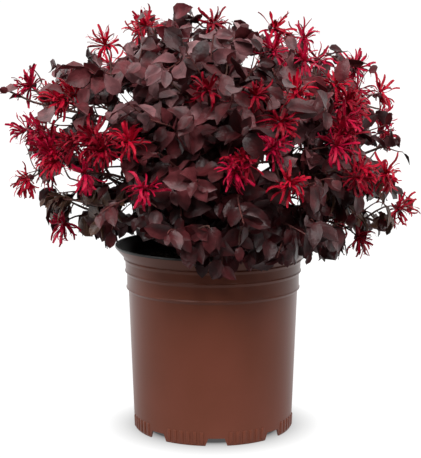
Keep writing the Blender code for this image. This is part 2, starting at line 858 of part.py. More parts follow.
def grow_blossoms(twigs, space, solid_near, taken, rng, materials):
    """A blossom at the end of every twig that calls for one and has the room."""
    pieces = []
    for twig in twigs:
        blossom = fitting_blossom(twig, space, solid_near + taken, rng) if twig.blossom else None
        twig.blossom = blossom is not None
        if blossom:
            taken.append(BVHTree.FromBMesh(blossom))
            pieces.append(object_of("blossom", blossom, materials))
    return pieces


def grow_leaves(twigs, space, solid_near, taken, rng, materials):
    """Leaves on alternate sides of every twig, and one at each end that has no blossom."""
    twig_trees = [tree_of(twig.tube()) for twig in twigs]
    pieces = []
    for k, twig in enumerate(twigs):
        near = solid_near + twig_trees[:k] + twig_trees[k + 1 :]
        count = max(2, round(twig.length * (1 - FIRST_LEAF) / LEAF_SPACING))
        side = rng.choice((-1, 1))
        for i in range(count):
            side = -side
            ends = i == count - 1 and not twig.blossom
            share = 0.98 if ends else FIRST_LEAF + (0.95 - FIRST_LEAF) * (i + 0.3) / count
            leaf = fitting_leaf(twig, share, side * (0.2 if ends else 1), space, near, taken, rng)
            if leaf:
                taken.append(BVHTree.FromBMesh(leaf))
                pieces.append(object_of("leaf", leaf, materials))
    return pieces


def main():
    for old in list(bpy.data.objects):
        bpy.data.objects.remove(old)
    bark = material("greyish brown bark", "#5b463a", 0.85)
    foliage = [
        material("reddish young bark", "#56332c", 0.80),
        material("burgundy leaf", "#4b2a2e", 0.55),
        material("crimson petal", "#b80f2e", 0.50),
    ]
    make_pot(material("brown moulded polypropylene", "#6f4130", 0.42))
    make_potting_mix(material("bark potting mix", "#241a13", 0.95))
    stem = make_main_stem(bark)
    boughs, side_limbs, leader = all_limbs()
    make_limbs(boughs, side_limbs, leader, bark)
    limbs = boughs + side_limbs + [leader]
    stem_and_pot = bmesh.new()
    stem_and_pot.from_mesh(stem.data)
    stem_and_pot.from_mesh(bpy.data.objects["pot"].data)
    solid_near = [limb.near for limb in limbs] + [tree_of(stem_and_pot)]
    centres = mass_centres()
    shoots = crown_shoots()
    for k, name in enumerate(mass_names()):
        own = [
            shoot
            for shoot in shoots
            if min(range(len(centres)), key=lambda other: (centres[other] - shoot.point).length) == k
        ]
        make_mass(name, limbs[k], Space(centres, k), centres[k], own, solid_near, foliage)


main()
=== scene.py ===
"""A Chinese fringe flower in its nursery pot: the finished look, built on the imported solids.

Metres, +Z up, the front of the plant towards -Y. The stem, boughs and main twigs grow by the same seeded
rule as the solids do. Finer twigs then fill the same masses, and leaves and blossoms of real size sit on
them all, within the solids' reach.
"""

import json
import math
import random

import bmesh
import bpy
import numpy as np
from mathutils import Matrix, Vector, noise

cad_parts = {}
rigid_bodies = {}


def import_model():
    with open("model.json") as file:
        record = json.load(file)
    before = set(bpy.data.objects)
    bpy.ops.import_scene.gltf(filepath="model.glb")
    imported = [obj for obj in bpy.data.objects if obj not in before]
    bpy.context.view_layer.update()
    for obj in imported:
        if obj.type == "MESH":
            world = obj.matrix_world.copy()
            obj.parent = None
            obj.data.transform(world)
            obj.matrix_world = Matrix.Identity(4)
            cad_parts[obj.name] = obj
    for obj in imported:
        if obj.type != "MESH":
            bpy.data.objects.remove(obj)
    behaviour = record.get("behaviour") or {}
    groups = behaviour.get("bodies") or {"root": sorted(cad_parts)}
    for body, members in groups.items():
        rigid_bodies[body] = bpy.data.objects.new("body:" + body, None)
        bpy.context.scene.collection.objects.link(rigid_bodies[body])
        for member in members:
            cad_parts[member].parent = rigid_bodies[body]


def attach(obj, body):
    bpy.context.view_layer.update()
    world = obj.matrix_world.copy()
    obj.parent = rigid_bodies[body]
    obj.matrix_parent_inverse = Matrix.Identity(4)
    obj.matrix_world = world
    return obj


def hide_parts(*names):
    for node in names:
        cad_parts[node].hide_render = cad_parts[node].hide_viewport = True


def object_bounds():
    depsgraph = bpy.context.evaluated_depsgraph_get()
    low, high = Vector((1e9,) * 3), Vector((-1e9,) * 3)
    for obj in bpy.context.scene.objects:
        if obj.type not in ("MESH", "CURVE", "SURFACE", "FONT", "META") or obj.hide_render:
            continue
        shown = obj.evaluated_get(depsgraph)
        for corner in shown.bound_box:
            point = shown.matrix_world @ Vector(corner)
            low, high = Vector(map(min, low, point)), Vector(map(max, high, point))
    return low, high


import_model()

CAD_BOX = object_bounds()
UP = Vector((0, 0, 1))
GAP = 0.0003
MM = 0.001

# Pot
POT_HEIGHT = 0.215
POT_FACETS = 144
WALL = 0.0017
FOOT_RADIUS = 0.0923
FOOT_RING = 0.0024
FOOT_BEVEL = 0.0010
BODY_TOP = 0.1645
BODY_TOP_RADIUS = 0.0981
LOWER_BAND_TOP = 0.1840
LOWER_BAND_RADIUS = 0.0999
UPPER_BAND_TOP = 0.1980
UPPER_BAND_RADIUS = 0.1014
BAND_STEP = 0.0013
BEAD = 0.0009
RIM_RADIUS = 0.1135
LIP_HEIGHT = 0.0026
LIP_WIDTH = 0.0032
PAD_RADIUS = 0.0560
PAD_SLOPE = 0.0045
CHANNEL_HEIGHT = 0.0100
FLOOR = 0.0018
EDGE_ROUNDING = 0.0005
NOTCHES = 8
NOTCH_TURN = math.radians(2.3)
NOTCH_WIDTH = 0.0250
NOTCH_TOP_WIDTH = 0.0185
NOTCH_HEIGHT = 0.0088
DRAIN_LENGTH = 0.0140
DRAIN_WIDTH = 0.0070
DRAIN_RADIUS = 0.0760
FOOT_RIBS = 6  # between one notch and the next
FOOT_RIB_HEIGHT = 0.0150
FOOT_RIB_WIDTH = 0.0054
FOOT_RIB_RELIEF = 0.0011
FOOT_RIB_ROUNDING = 0.0016
FOOT_RIB_STEP = math.radians(4.9)

# Potting mix
MIX_LEVEL = 0.1920
MIX_CROWN = 0.0035
MIX_FLAT_RADIUS = 0.0190
MIX_RADIUS = 0.0995
MIX_RELIEF = 0.0016
CHIPS = 1100
CHIP_LENGTH = (0.004, 0.013)

# Stem
STEM_BASE_RADIUS = 0.0085
STEM_HEIGHT = 0.0300
STEM_TOP_RADIUS = 0.0068
STEM_LEAN = Vector((0.0022, -0.0012, 0))
STEM_FACETS = 48
STEM_CUTS = 20
FLARE = 0.75
FLARE_LOBES = 5
FORK_LENGTH = 0.0240
FORK_TILT = math.radians(47)
FORK_BASE_RADIUS = 0.0052
FORK_TIP_RADIUS = 0.0043

# Crown
HEART = Vector((0, 0, 0.300))
CROWN_SPREAD = 0.236
CROWN_DEPTH = 0.230
CROWN_RISE = 0.180
CROWN_DROP = 0.118
CROWN_LEAN = -0.13
OUTLINE_SLACK = 1.10
SHOULDERS = 2.5  # 2 would be an ellipsoid
RING_MASSES = 6
LOW_MASS_RADIUS = 0.150
LOW_MASS_HEIGHT = 0.268
HIGH_MASS_RADIUS = 0.106
HIGH_MASS_HEIGHT = 0.372
TOP_MASS_HEIGHT = 0.418
CELL_MARGIN = 0.0006
POT_CLEARANCE = 0.0015
LOW_NAMES = ("right", "back_right", "back_left", "left", "front_left", "front_right")
HIGH_NAMES = ("right_back", "back", "left_back", "left_front", "front", "right_front")

# Limbs
LOW_FOOT_RADIUS = 0.084
LOW_FOOT_HEIGHT = 0.276
HIGH_FOOT_RADIUS = 0.062
HIGH_FOOT_HEIGHT = 0.322
TOP_FOOT_HEIGHT = 0.345
LIMB_POINTS = 5
BOUGH_TIP_RADIUS = 0.0027
SIDE_LIMB_RADIUS = 0.0034
SIDE_LIMB_TIP_RADIUS = 0.0024
SIDE_LIMB_SEGMENT = 1
LIMB_WANDER = 0.0030
BARK_RELIEF = 0.00045

# Shoots and twigs
SHOOT_SPACING = 0.0550
SHOOT_CHOICE = 8
SHOOT_DEPTH = (0.76, 0.92)
SEEN_DEPTH = 0.90
STEM_TWIG_RADII = (0.0022, 0.0012)
SIDE_TWIG_RADII = (0.0016, 0.0008)
FINE_TWIG_RADII = (0.0010, 0.0005)
TWIG_ROOTS = (0.12, 0.25, 0.38, 0.50, 0.62, 0.75)
BLOSSOM_SHARE = 0.24
FILL_SPACING = 0.0242
FILL_CHOICE = 14000
FILL_DEPTH = (0.42, 0.82)
SPRAY_SPACING = 0.0420
SPRAY_CHOICE = 4000
SPRAY_DEPTH = (0.88, 1.01)
SPRAY_BLOSSOM_SHARE = 0.25

# Leaves, 25 to 48 mm long, and blossoms, 40 to 53 mm across
LEAF_LENGTH = (0.020, 0.037)
LEAF_WIDTH = 0.60
LEAF_SKIN = 0.010
LEAF_STALK = 0.09  # share of a leaf's length
LEAF_STALK_HALF = 0.013
LEAF_STATIONS = (0.0, 0.09, 0.24, 0.50, 0.78, 1.0)
LEAF_STEP = 0.0074
LEAF_MARGIN = 7  # mm kept between a leaf's midrib and the sky
EDGE_SLACK = 8  # mm by which a leaf may pass the crown's edge
FIRST_LEAF = 0.12
LEAF_TRIES = 16
RIBBON_LENGTH = (0.014, 0.027)
RIBBON_WIDTH = 0.116
RIBBON_STEPS = 6
RIBBON_SKIN = 0.014
RIBBONS = (43, 53)
RIBBON_SPREAD = -0.55
HEAD_LIFT = 0.0
HEAD_CLEAR = 0.019
HEAD_SHOWN = 12  # mm round a head that stay free of leaves before it, as the front shows it
HEAD_INSET = 12  # mm kept between a head's middle and the crown's edge
HEAD_SHARES = (1, 0.93, 0.86, 0.79)  # how far along its twig a head may sit
TWIN_SHARE = 0.35
TWIN_APART = 0.019

EYE = Vector((0, -1.52, 0.455))
SEEN_BLOSSOMS = (
    (-122, 442), (-76, 464), (1, 467), (69, 461), (103, 450), (120, 425), (196, 397),
    (-208, 396), (-158, 388), (-6, 391), (49, 385), (94, 387), (138, 398), (160, 373),
    (-213, 346), (-186, 322), (-138, 338), (-96, 332), (24, 300), (68, 327), (88, 284), (146, 343),
    (-213, 290), (-148, 296), (-79, 277), (-173, 238), (170, 300), (200, 296), (214, 256), (168, 222),
)  # fmt: skip
SEEN_BUDS = ((196, 397),)  # of these, the ones that haven't opened
SEEN_SHOOTS = (
    (-234, 391), (-60, 478), (20, 478), (130, 440), (205, 372), (226, 335), (205, 225), (112, 204),
    (-120, 205), (-185, 262), (-222, 350), (30, 212), (-30, 218), (-78, 226), (-4, 232), (66, 224),
)  # fmt: skip

# More blossoms and leafy sprays that the front shows, as SEEN_BLOSSOMS and SEEN_SHOOTS
MORE_BLOSSOMS = (
    (151, 340), (140, 328), (-188, 334), (-160, 330), (-126, 322), (-180, 312), (-196, 345),
    (68, 436), (76, 354), (150, 358), (-172, 380), (164, 292), (36, 310), (152, 376), (104, 424), (-136, 328),
)  # fmt: skip
MORE_SHOOTS = (
    (-116, 446), (-81, 440), (-47, 460), (8, 468), (42, 460), (86, 452), (137, 431), (176, 414), (197, 394),
    (203, 345), (218, 321), (205, 236), (197, 262), (-220, 394), (-196, 403), (-139, 428), (-183, 265),
    (-189, 291), (-135, 233), (128, 200), (205, 280), (-160, 410), (-206, 330), (28, 461), (-24, 480),
    (-206, 417), (149, 424), (146, 208), (-14, 466), (-118, 230), (-163, 232), (107, 197), (128, 195),
    (152, 199), (182, 266), (-194, 268), (188, 316), (-178, 420), (198, 250), (204, 226), (178, 218), (-166, 296),
)  # fmt: skip

# Studio
FLOOR_GLOW = (0.08, 0.96)  # below the pot, a painted shadow, and away from it
PAINTED_SHADOW_RADII = (0.078, 0.130)  # the radii between which the floor's glow sets in, fast and then slowly: a painted contact shadow round the pot's foot
SWEEP_LIGHT = 1.35  # the light that the floor throws far behind the pot
BEFORE_STRENGTH = 0.12
BEHIND_STRENGTH = 1.55
KEY_SPREAD = 0.34
KEYS = ((-40, 49, 1.45), (-4, 49, 1.7), (32, 49, 1.35), (-66, 72, 0.42), (64, 72, 0.36))  # (turn, tilt, strength)

# The crown's edge as the front shows it, in millimetres: height, left, right
FRONT_EDGE = (
    (166, 0, 20), (171, -12, 26), (179, -20, 40), (186, -24, 80), (193, -26, 134), (200, -32, 158),
    (207, -110, 168), (223, -182, 194), (237, -192, 216), (251, -188, 226), (265, -202, 232),
    (279, -228, 224), (293, -230, 216), (307, -216, 222), (321, -216, 224), (335, -226, 212),
    (348, -226, 208), (362, -214, 202), (376, -214, 198), (390, -241, 204), (403, -238, 205),
    (417, -212, 190), (430, -165, 160), (444, -142, 130), (457, -114, 114), (471, -88, 90),
    (484, -70, 30), (490, -60, 10),
)  # fmt: skip
# Where the front shows the sky or the pot's rim through the crown, in millimetres: right, height, radius
SKY = (
    (184, 257, 8), (190, 221, 8), (-143, 207, 15), (44, 480, 7), (-168, 288, 13), (-99, 455, 8), (-115, 296, 12),
    (207, 319, 5), (-56, 480, 5), (89, 468, 6), (-201, 281, 5), (187, 379, 8), (-209, 309, 6),
    (157, 227, 5), (-205, 372, 5), (-160, 430, 7), (174, 401, 7), (119, 450, 5),
    (119, 436, 8), (-155, 256, 6), (-119, 426, 6), (140, 239, 6), (119, 466, 6), (17, 479, 5),
    (-98, 212, 12), (-72, 205, 12), (-48, 198, 9),
    (-129, 370, 6), (-127, 351, 6), (-175, 356, 6), (-163, 367, 6), (-151, 322, 6), (97, 325, 6),
    (59, 305, 6), (95, 267, 6), (-96, 256, 6), (-173, 227, 5), (190, 348, 5), (183, 321, 6),
    (204, 391, 5), (-148, 446, 6), (219, 291, 5), (-222, 329, 5), (212, 350, 5), (53, 467, 6), (176, 206, 4),
    (-194, 412, 5), (-205, 375, 5), (44, 423, 6), (-98, 383, 6),
    (105, 459, 6), (-222, 411, 5), (-108, 434, 6),
)  # fmt: skip

SEED = 4


def seeded(purpose):
    return random.Random(f"{purpose} {SEED}")


def random_vector(rng, size):
    return Vector([rng.uniform(-1, 1) for _ in range(3)]) * size


def between(first, last, count):
    """Even steps from first to last."""
    return [first + (last - first) * i / (count - 1) for i in range(count)]


# Finishes


def linear(colour):
    """An sRGB hex colour as the linear colour that a shader takes."""
    channels = [int(colour[i : i + 2], 16) / 255 for i in (1, 3, 5)]
    return (*(c / 12.92 if c <= 0.04045 else ((c + 0.055) / 1.055) ** 2.4 for c in channels), 1)


def add(tree, kind, settings, inputs):
    """Adds a shader node: settings are its properties, and inputs its sockets' values or links."""
    made = tree.nodes.new("ShaderNode" + kind)
    for name, value in settings.items():
        setattr(made, name, value)
    for name, value in inputs.items():
        if isinstance(value, bpy.types.NodeSocket):
            tree.links.new(value, made.inputs[name])
        else:
            made.inputs[name].default_value = value
    return made


def finish(name, dark, light, patch, roughness, relief, grain, stretch=1.0, shine=0.5):
    """A surface that drifts from a dark to a light colour over patches, with a fine relief.

    patch and grain are the sizes in mm of the drift and of the relief, relief its height in mm, stretch
    how much longer both are up the surface than across it, and shine half for a plain smooth surface.
    """
    made = bpy.data.materials.new(name)
    made.use_nodes = True
    tree = made.node_tree
    shader = tree.nodes["Principled BSDF"]
    place = add(tree, "TexCoord", {}, {}).outputs["Object"]
    place = add(tree, "Mapping", {}, {"Vector": place, "Scale": (1, 1, 1 / stretch)}).outputs["Vector"]
    drift = add(tree, "TexNoise", {}, {"Vector": place, "Scale": 1000 / patch, "Detail": 3.0})
    share = add(tree, "MapRange", {}, {"Value": drift.outputs["Fac"], "From Min": 0.35, "From Max": 0.65})
    ends = {0: share.outputs["Result"], 6: linear(dark), 7: linear(light)}
    colour = add(tree, "Mix", {"data_type": "RGBA"}, ends)
    fine = add(tree, "TexNoise", {}, {"Vector": place, "Scale": 1000 / grain, "Detail": 4.0})
    height = {"Height": fine.outputs["Fac"], "Distance": relief * MM, "Strength": 1.0}
    bump = add(tree, "Bump", {}, height)
    tree.links.new(colour.outputs[2], shader.inputs["Base Color"])
    tree.links.new(bump.outputs["Normal"], shader.inputs["Normal"])
    shader.inputs["Roughness"].default_value = roughness
    shader.inputs["Specular IOR Level"].default_value = shine
    return made


# Pieces


def smooth_mesh(name, bm, crease=35):
    """The bmesh as a smooth mesh that stays crisp where it turns by more than crease degrees."""
    mesh = bpy.data.meshes.new(name)
    bm.to_mesh(mesh)
    bm.free()
    mesh.shade_smooth()
    mesh.set_sharp_from_angle(angle=math.radians(crease))
    return mesh


def piece(name, mesh, finishes, nodes):
    """A finished piece that rides with the pot and stands for these nodes."""
    made = bpy.data.objects.new(name, mesh)
    bpy.context.scene.collection.objects.link(made)
    for finish_of_piece in finishes:
        mesh.materials.append(finish_of_piece)
    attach(made, "root")
    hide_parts(*nodes)
    return made


class Shape:
    """A small shape that is repeated: its points and its faces."""

    def __init__(self, bm):
        bm.verts.index_update()
        self.points = np.array([vertex.co for vertex in bm.verts])
        self.faces = [[vertex.index for vertex in face.verts] for face in bm.faces]
        bm.free()


def strewn(name, placements, crease=35):
    """One smooth mesh of many copies of small shapes. Each placement is (shape, matrix)."""
    points, faces, count = [], [], 0
    for shape, matrix in placements:
        turn = np.array(matrix)
        points.append(shape.points @ turn[:3, :3].T + turn[:3, 3])
        faces += [[corner + count for corner in face] for face in shape.faces]
        count += len(shape.points)
    mesh = bpy.data.meshes.new(name)
    mesh.from_pydata(np.concatenate(points).tolist(), [], faces)
    mesh.shade_smooth()
    mesh.set_sharp_from_angle(angle=math.radians(crease))
    return mesh


def stalks(name, lines, roundness):
    """Round tapering stems along lines, as one mesh. Each line is (points, radii)."""
    curve = bpy.data.curves.new(name, "CURVE")
    curve.dimensions = "3D"
    curve.bevel_depth = 1
    curve.bevel_resolution = roundness
    curve.use_fill_caps = True
    for points, radii in lines:
        spline = curve.splines.new("POLY")
        spline.points.add(len(points) - 1)
        for place, point, radius in zip(spline.points, points, radii):
            place.co = (*point, 1)
            place.radius = radius
    holder = bpy.data.objects.new(name, curve)
    bpy.context.scene.collection.objects.link(holder)
    graph = bpy.context.evaluated_depsgraph_get()
    mesh = bpy.data.meshes.new_from_object(holder.evaluated_get(graph))
    bpy.data.objects.remove(holder)
    mesh.shade_smooth()
    mesh.set_sharp_from_angle(angle=math.radians(50))
    return mesh


def placed(point, way, facing):
    """A matrix at point whose X runs along way and whose Z is as near facing as it can be."""
    x = way.normalized()
    z = (facing - x * facing.dot(x)).normalized()
    matrix = Matrix((x, z.cross(x), z)).transposed().to_4x4()
    matrix.translation = point
    return matrix


# Pot


def wall_radius(height):
    return FOOT_RADIUS + (BODY_TOP_RADIUS - FOOT_RADIUS) * height / BODY_TOP


def widest_radius(height):
    """The pot's widest radius from the ground up to a height."""
    if height < BODY_TOP:
        return wall_radius(height)
    if height < UPPER_BAND_TOP:
        return UPPER_BAND_RADIUS
    share = (height - UPPER_BAND_TOP) / (POT_HEIGHT - UPPER_BAND_TOP)
    return UPPER_BAND_RADIUS + BAND_STEP + (RIM_RADIUS - UPPER_BAND_RADIUS) * min(share, 1)


def turned(profile, facets):
    """A surface turned round Z from (radius, height) points, closed with a disc at each end."""
    bm = bmesh.new()
    points = [bm.verts.new((radius, 0, height)) for radius, height in profile]
    edges = [bm.edges.new(pair) for pair in zip(points, points[1:])]
    bmesh.ops.spin(
        bm,
        geom=points + edges,
        axis=UP,
        cent=(0, 0, 0),
        steps=facets,
        angle=math.tau,
        use_merge=True,
        use_duplicate=False,
    )
    for radius, height in (profile[0], profile[-1]):
        rim = [
            edge
            for edge in bm.edges
            if edge.is_boundary
            and all(abs(v.co.z - height) < 1e-6 and abs(v.co.xy.length - radius) < 1e-6 for v in edge.verts)
        ]
        bmesh.ops.contextual_create(bm, geom=rim)
    bmesh.ops.recalc_face_normals(bm, faces=bm.faces)
    return bm


def rounded(bm, angle, size):
    """Rounds the edges that go round the Z axis and turn by more than an angle."""
    sharp = [
        edge
        for edge in bm.edges
        if abs(edge.verts[0].co.z - edge.verts[1].co.z) < 1e-6
        and edge.is_manifold
        and edge.calc_face_angle(0) > angle
    ]
    bmesh.ops.bevel(
        bm, geom=sharp, offset=size, segments=2, profile=0.5, affect="EDGES", material=-1, clamp_overlap=True
    )


def notch_turns():
    return [-math.pi / 2 + NOTCH_TURN + math.tau * k / NOTCHES for k in range(NOTCHES)]


def wedge_at(low_width, high_width, depth, low, high, radius, turn):
    """A cutter on the pot's foot, wider at its base or its top."""
    bm = bmesh.new()
    bmesh.ops.create_cube(bm, size=1)
    for vertex in bm.verts:
        top = vertex.co.z > 0
        vertex.co.x = vertex.co.x * depth + radius
        vertex.co.y *= high_width if top else low_width
        vertex.co.z = high if top else low
    bmesh.ops.rotate(bm, verts=bm.verts, cent=(0, 0, 0), matrix=Matrix.Rotation(turn, 3, "Z"))
    mesh = bpy.data.meshes.new("cutter")
    bm.to_mesh(mesh)
    bm.free()
    return bpy.data.objects.new("cutter", mesh)


def beaded(above, below, height):
    """Four points of a raised bead where the wall steps in from one radius to a smaller one."""
    return [
        (above, height + BEAD * 2.2),
        (above + BEAD, height + BEAD),
        (above + BEAD, height + BEAD * 0.3),
        (below, height - BEAD * 3),
    ]


def make_pot(brown, black):
    """The moulded pot: brown outside, black within and over its lip."""
    inside = [
        (PAD_RADIUS - FLOOR / 2, FLOOR),
        (PAD_RADIUS + PAD_SLOPE - FLOOR / 2, CHANNEL_HEIGHT + FLOOR),
        (wall_radius(CHANNEL_HEIGHT) - WALL, CHANNEL_HEIGHT + FLOOR),
        (BODY_TOP_RADIUS - WALL, BODY_TOP),
        (UPPER_BAND_RADIUS - WALL, UPPER_BAND_TOP),
        (RIM_RADIUS - LIP_WIDTH, POT_HEIGHT - LIP_HEIGHT),
        (RIM_RADIUS - LIP_WIDTH * 0.7, POT_HEIGHT),
        (RIM_RADIUS - LIP_WIDTH * 0.15, POT_HEIGHT),
    ]
    outside = [
        (RIM_RADIUS, POT_HEIGHT - LIP_HEIGHT),
        *beaded(UPPER_BAND_RADIUS + BAND_STEP, UPPER_BAND_RADIUS + BAND_STEP / 4, UPPER_BAND_TOP),
        *beaded(UPPER_BAND_RADIUS, LOWER_BAND_RADIUS, LOWER_BAND_TOP),
        *beaded(LOWER_BAND_RADIUS, BODY_TOP_RADIUS, BODY_TOP),
        (wall_radius(FOOT_RIB_HEIGHT * 1.3), FOOT_RIB_HEIGHT * 1.3),
        (FOOT_RADIUS, FOOT_BEVEL),
        (FOOT_RADIUS - FOOT_BEVEL / 2, 0),
        (FOOT_RADIUS - FOOT_RING, 0),
        (FOOT_RADIUS - FOOT_RING, CHANNEL_HEIGHT),
        (PAD_RADIUS + PAD_SLOPE, CHANNEL_HEIGHT),
        (PAD_RADIUS, 0),
    ]
    bm = turned(inside + outside, POT_FACETS)
    rounded(bm, math.radians(14), EDGE_ROUNDING)
    for face in bm.faces:
        middle = face.calc_center_median()
        within = middle.z > CHANNEL_HEIGHT and face.normal.xy.dot(middle.xy) < 0
        face.material_index = 1 if within or middle.z > POT_HEIGHT - LIP_HEIGHT else 0
    pot = piece("nursery_pot", smooth_mesh("nursery_pot", bm), [brown, black], ["pot"])
    middle = FOOT_RADIUS - FOOT_RING / 2
    low, high = CHANNEL_HEIGHT / 2, CHANNEL_HEIGHT + FLOOR * 2
    cutters = bpy.data.collections.new("cutters")
    bpy.context.scene.collection.children.link(cutters)
    for turn in notch_turns():
        for wedge in (
            (NOTCH_WIDTH, NOTCH_TOP_WIDTH, FOOT_RING * 4, -GAP, NOTCH_HEIGHT, middle, turn),
            (DRAIN_LENGTH, DRAIN_LENGTH, DRAIN_WIDTH, low, high, DRAIN_RADIUS, turn),
        ):
            cutters.objects.link(wedge_at(*wedge))
    cut = pot.modifiers.new("notches", "BOOLEAN")
    cut.operation = "DIFFERENCE"
    cut.operand_type = "COLLECTION"
    cut.collection = cutters
    cut.solver = "EXACT"
    cut.material_mode = "INDEX"
    graph = bpy.context.evaluated_depsgraph_get()
    mesh = bpy.data.meshes.new_from_object(pot.evaluated_get(graph))
    pot.modifiers.remove(cut)
    pot.data = mesh
    for cutter in list(cutters.objects):
        bpy.data.objects.remove(cutter)
    bpy.data.collections.remove(cutters)
    return pot


def foot_rib_shape():
    """A slim upright rib with rounded edges, standing on its foot, one unit each way."""
    bm = bmesh.new()
    bmesh.ops.create_cube(bm, size=1)
    bmesh.ops.scale(bm, verts=bm.verts, vec=(FOOT_RIB_RELIEF * 4, FOOT_RIB_WIDTH, FOOT_RIB_HEIGHT))
    bmesh.ops.bevel(
        bm, geom=bm.edges, offset=FOOT_RIB_ROUNDING, segments=2, profile=0.5, affect="EDGES", material=-1
    )
    return Shape(bm)


def make_foot_ribs(brown):
    """The fine upright ribs round the pot's foot, in groups between the notches."""
    shape = foot_rib_shape()
    height = FOOT_BEVEL * 1.5 + FOOT_RIB_HEIGHT / 2
    lean = math.atan2(BODY_TOP_RADIUS - FOOT_RADIUS, BODY_TOP)
    ribs = []
    for notch in notch_turns():
        for k in range(FOOT_RIBS):
            turn = notch + math.pi / NOTCHES + (k - (FOOT_RIBS - 1) / 2) * FOOT_RIB_STEP
            radius = wall_radius(height) - FOOT_RIB_RELIEF
            tilt = Matrix.Translation((radius, 0, height)) @ Matrix.Rotation(lean, 4, "Y")
            ribs.append((shape, Matrix.Rotation(turn, 4, "Z") @ tilt))
    return piece("pot_foot_ribs", strewn("pot_foot_ribs", ribs), [brown], ["pot"])


# Potting mix


def mix_height(x, y):
    """The height of the mix's uneven surface, which lies higher round the stem."""
    rise = MIX_CROWN * max(0, 1 - math.hypot(x, y) / MIX_RADIUS)
    return MIX_LEVEL + rise + MIX_RELIEF * noise.noise(Vector((x, y, 0)) * 160)


def make_potting_mix(crumbs):
    """The bed of fine bark that fills the pot."""
    edge = MIX_RADIUS - GAP * 3
    rings = [(edge * share, MIX_LEVEL) for share in between(1, 0.01, 44)]
    bm = turned([(edge * 0.02, BODY_TOP), (edge * 0.98, BODY_TOP)] + rings, 120)
    for vertex in bm.verts:
        if vertex.co.z > BODY_TOP + GAP and vertex.co.xy.length < edge * 0.99:
            vertex.co.z = mix_height(vertex.co.x, vertex.co.y)
    return piece("potting_mix_bed", smooth_mesh("potting_mix_bed", bm), [crumbs], ["potting_mix"])


def chip_shape(rng):
    """A torn flake of bark, one unit long."""
    bm = bmesh.new()
    bmesh.ops.create_cube(bm, size=1)
    bmesh.ops.scale(bm, verts=bm.verts, vec=(1, rng.uniform(0.4, 0.7), rng.uniform(0.14, 0.26)))
    bmesh.ops.bevel(bm, geom=bm.edges, offset=0.07, segments=1, profile=0.5, affect="EDGES", material=-1)
    for vertex in bm.verts:
        vertex.co += noise.noise_vector(vertex.co * 3 + random_vector(rng, 4)) * 0.08
    return Shape(bm)


def make_chips(tints):
    """Bark chips of several browns over the mix."""
    rng = seeded("chips")
    shapes = [chip_shape(rng) for _ in range(6)]
    heaps = [[] for _ in tints]
    for _ in range(CHIPS):
        turn, far = rng.uniform(0, math.tau), math.sqrt(rng.random()) * (MIX_RADIUS - 0.009)
        if far < STEM_BASE_RADIUS * 1.6:
            continue
        x, y = math.cos(turn) * far, math.sin(turn) * far
        spin = Matrix.Rotation(rng.uniform(0, math.tau), 4, "Z") @ Matrix.Rotation(rng.uniform(-0.5, 0.5), 4, "Y")
        place = Matrix.Translation((x, y, mix_height(x, y) + 0.0006)) @ spin
        size = rng.uniform(*CHIP_LENGTH)
        heaps[rng.randrange(len(tints))].append((rng.choice(shapes), place @ Matrix.Scale(size, 4)))
    for k, (heap, tint) in enumerate(zip(heaps, tints)):
        name = f"bark_chips_{k + 1}"
        piece(name, strewn(name, heap), [tint], ["potting_mix"])


# Stem and limbs


def leaning(turn, tilt):
    """A unit vector that leans away from vertical by tilt, towards turn."""
    return Vector((math.cos(turn) * math.sin(tilt), math.sin(turn) * math.sin(tilt), math.cos(tilt)))


def ring_point(turn, radius, height):
    return Vector((math.cos(turn) * radius, math.sin(turn) * radius, height))


def low_turn(k):
    return math.tau * k / RING_MASSES


def high_turn(k):
    return math.tau * (k + 0.5) / RING_MASSES


def stem_foot():
    return Vector((0, 0, MIX_LEVEL + MIX_CROWN + GAP))


def fork_root():
    return stem_foot() + UP * (STEM_HEIGHT - FORK_TIP_RADIUS) + STEM_LEAN


def fork_tips():
    """(tip, direction) of the stem's forks: one towards each low mass, then the leader."""
    ways = [leaning(low_turn(k), FORK_TILT) for k in range(RING_MASSES)] + [UP]
    return [(fork_root() + way * FORK_LENGTH, way) for way in ways]


def bezier(start, leaving, arriving, end, share):
    """A point on the cubic curve whose handles are the start plus leaving and the end less arriving."""
    near, far = start + leaving, end - arriving
    rest = 1 - share
    return start * rest**3 + near * (3 * rest**2 * share) + far * (3 * rest * share**2) + end * share**3


def limb_path(start, way, end, end_way, rng):
    """Points from start, leaving along way, to end, arriving along end_way, with a slight wander."""
    length = (end - start).length
    points = []
    for share in between(0, 1, LIMB_POINTS):
        point = bezier(start, way * length * 0.4, end_way * length * 0.35, end, share)
        points.append(point + random_vector(rng, LIMB_WANDER) * math.sin(math.pi * share))
    return points


class Limb:
    def __init__(self, points, radii):
        self.points = points
        self.radii = radii
        self.tip = points[-1]
        self.tip_way = (points[-1] - points[-2]).normalized()


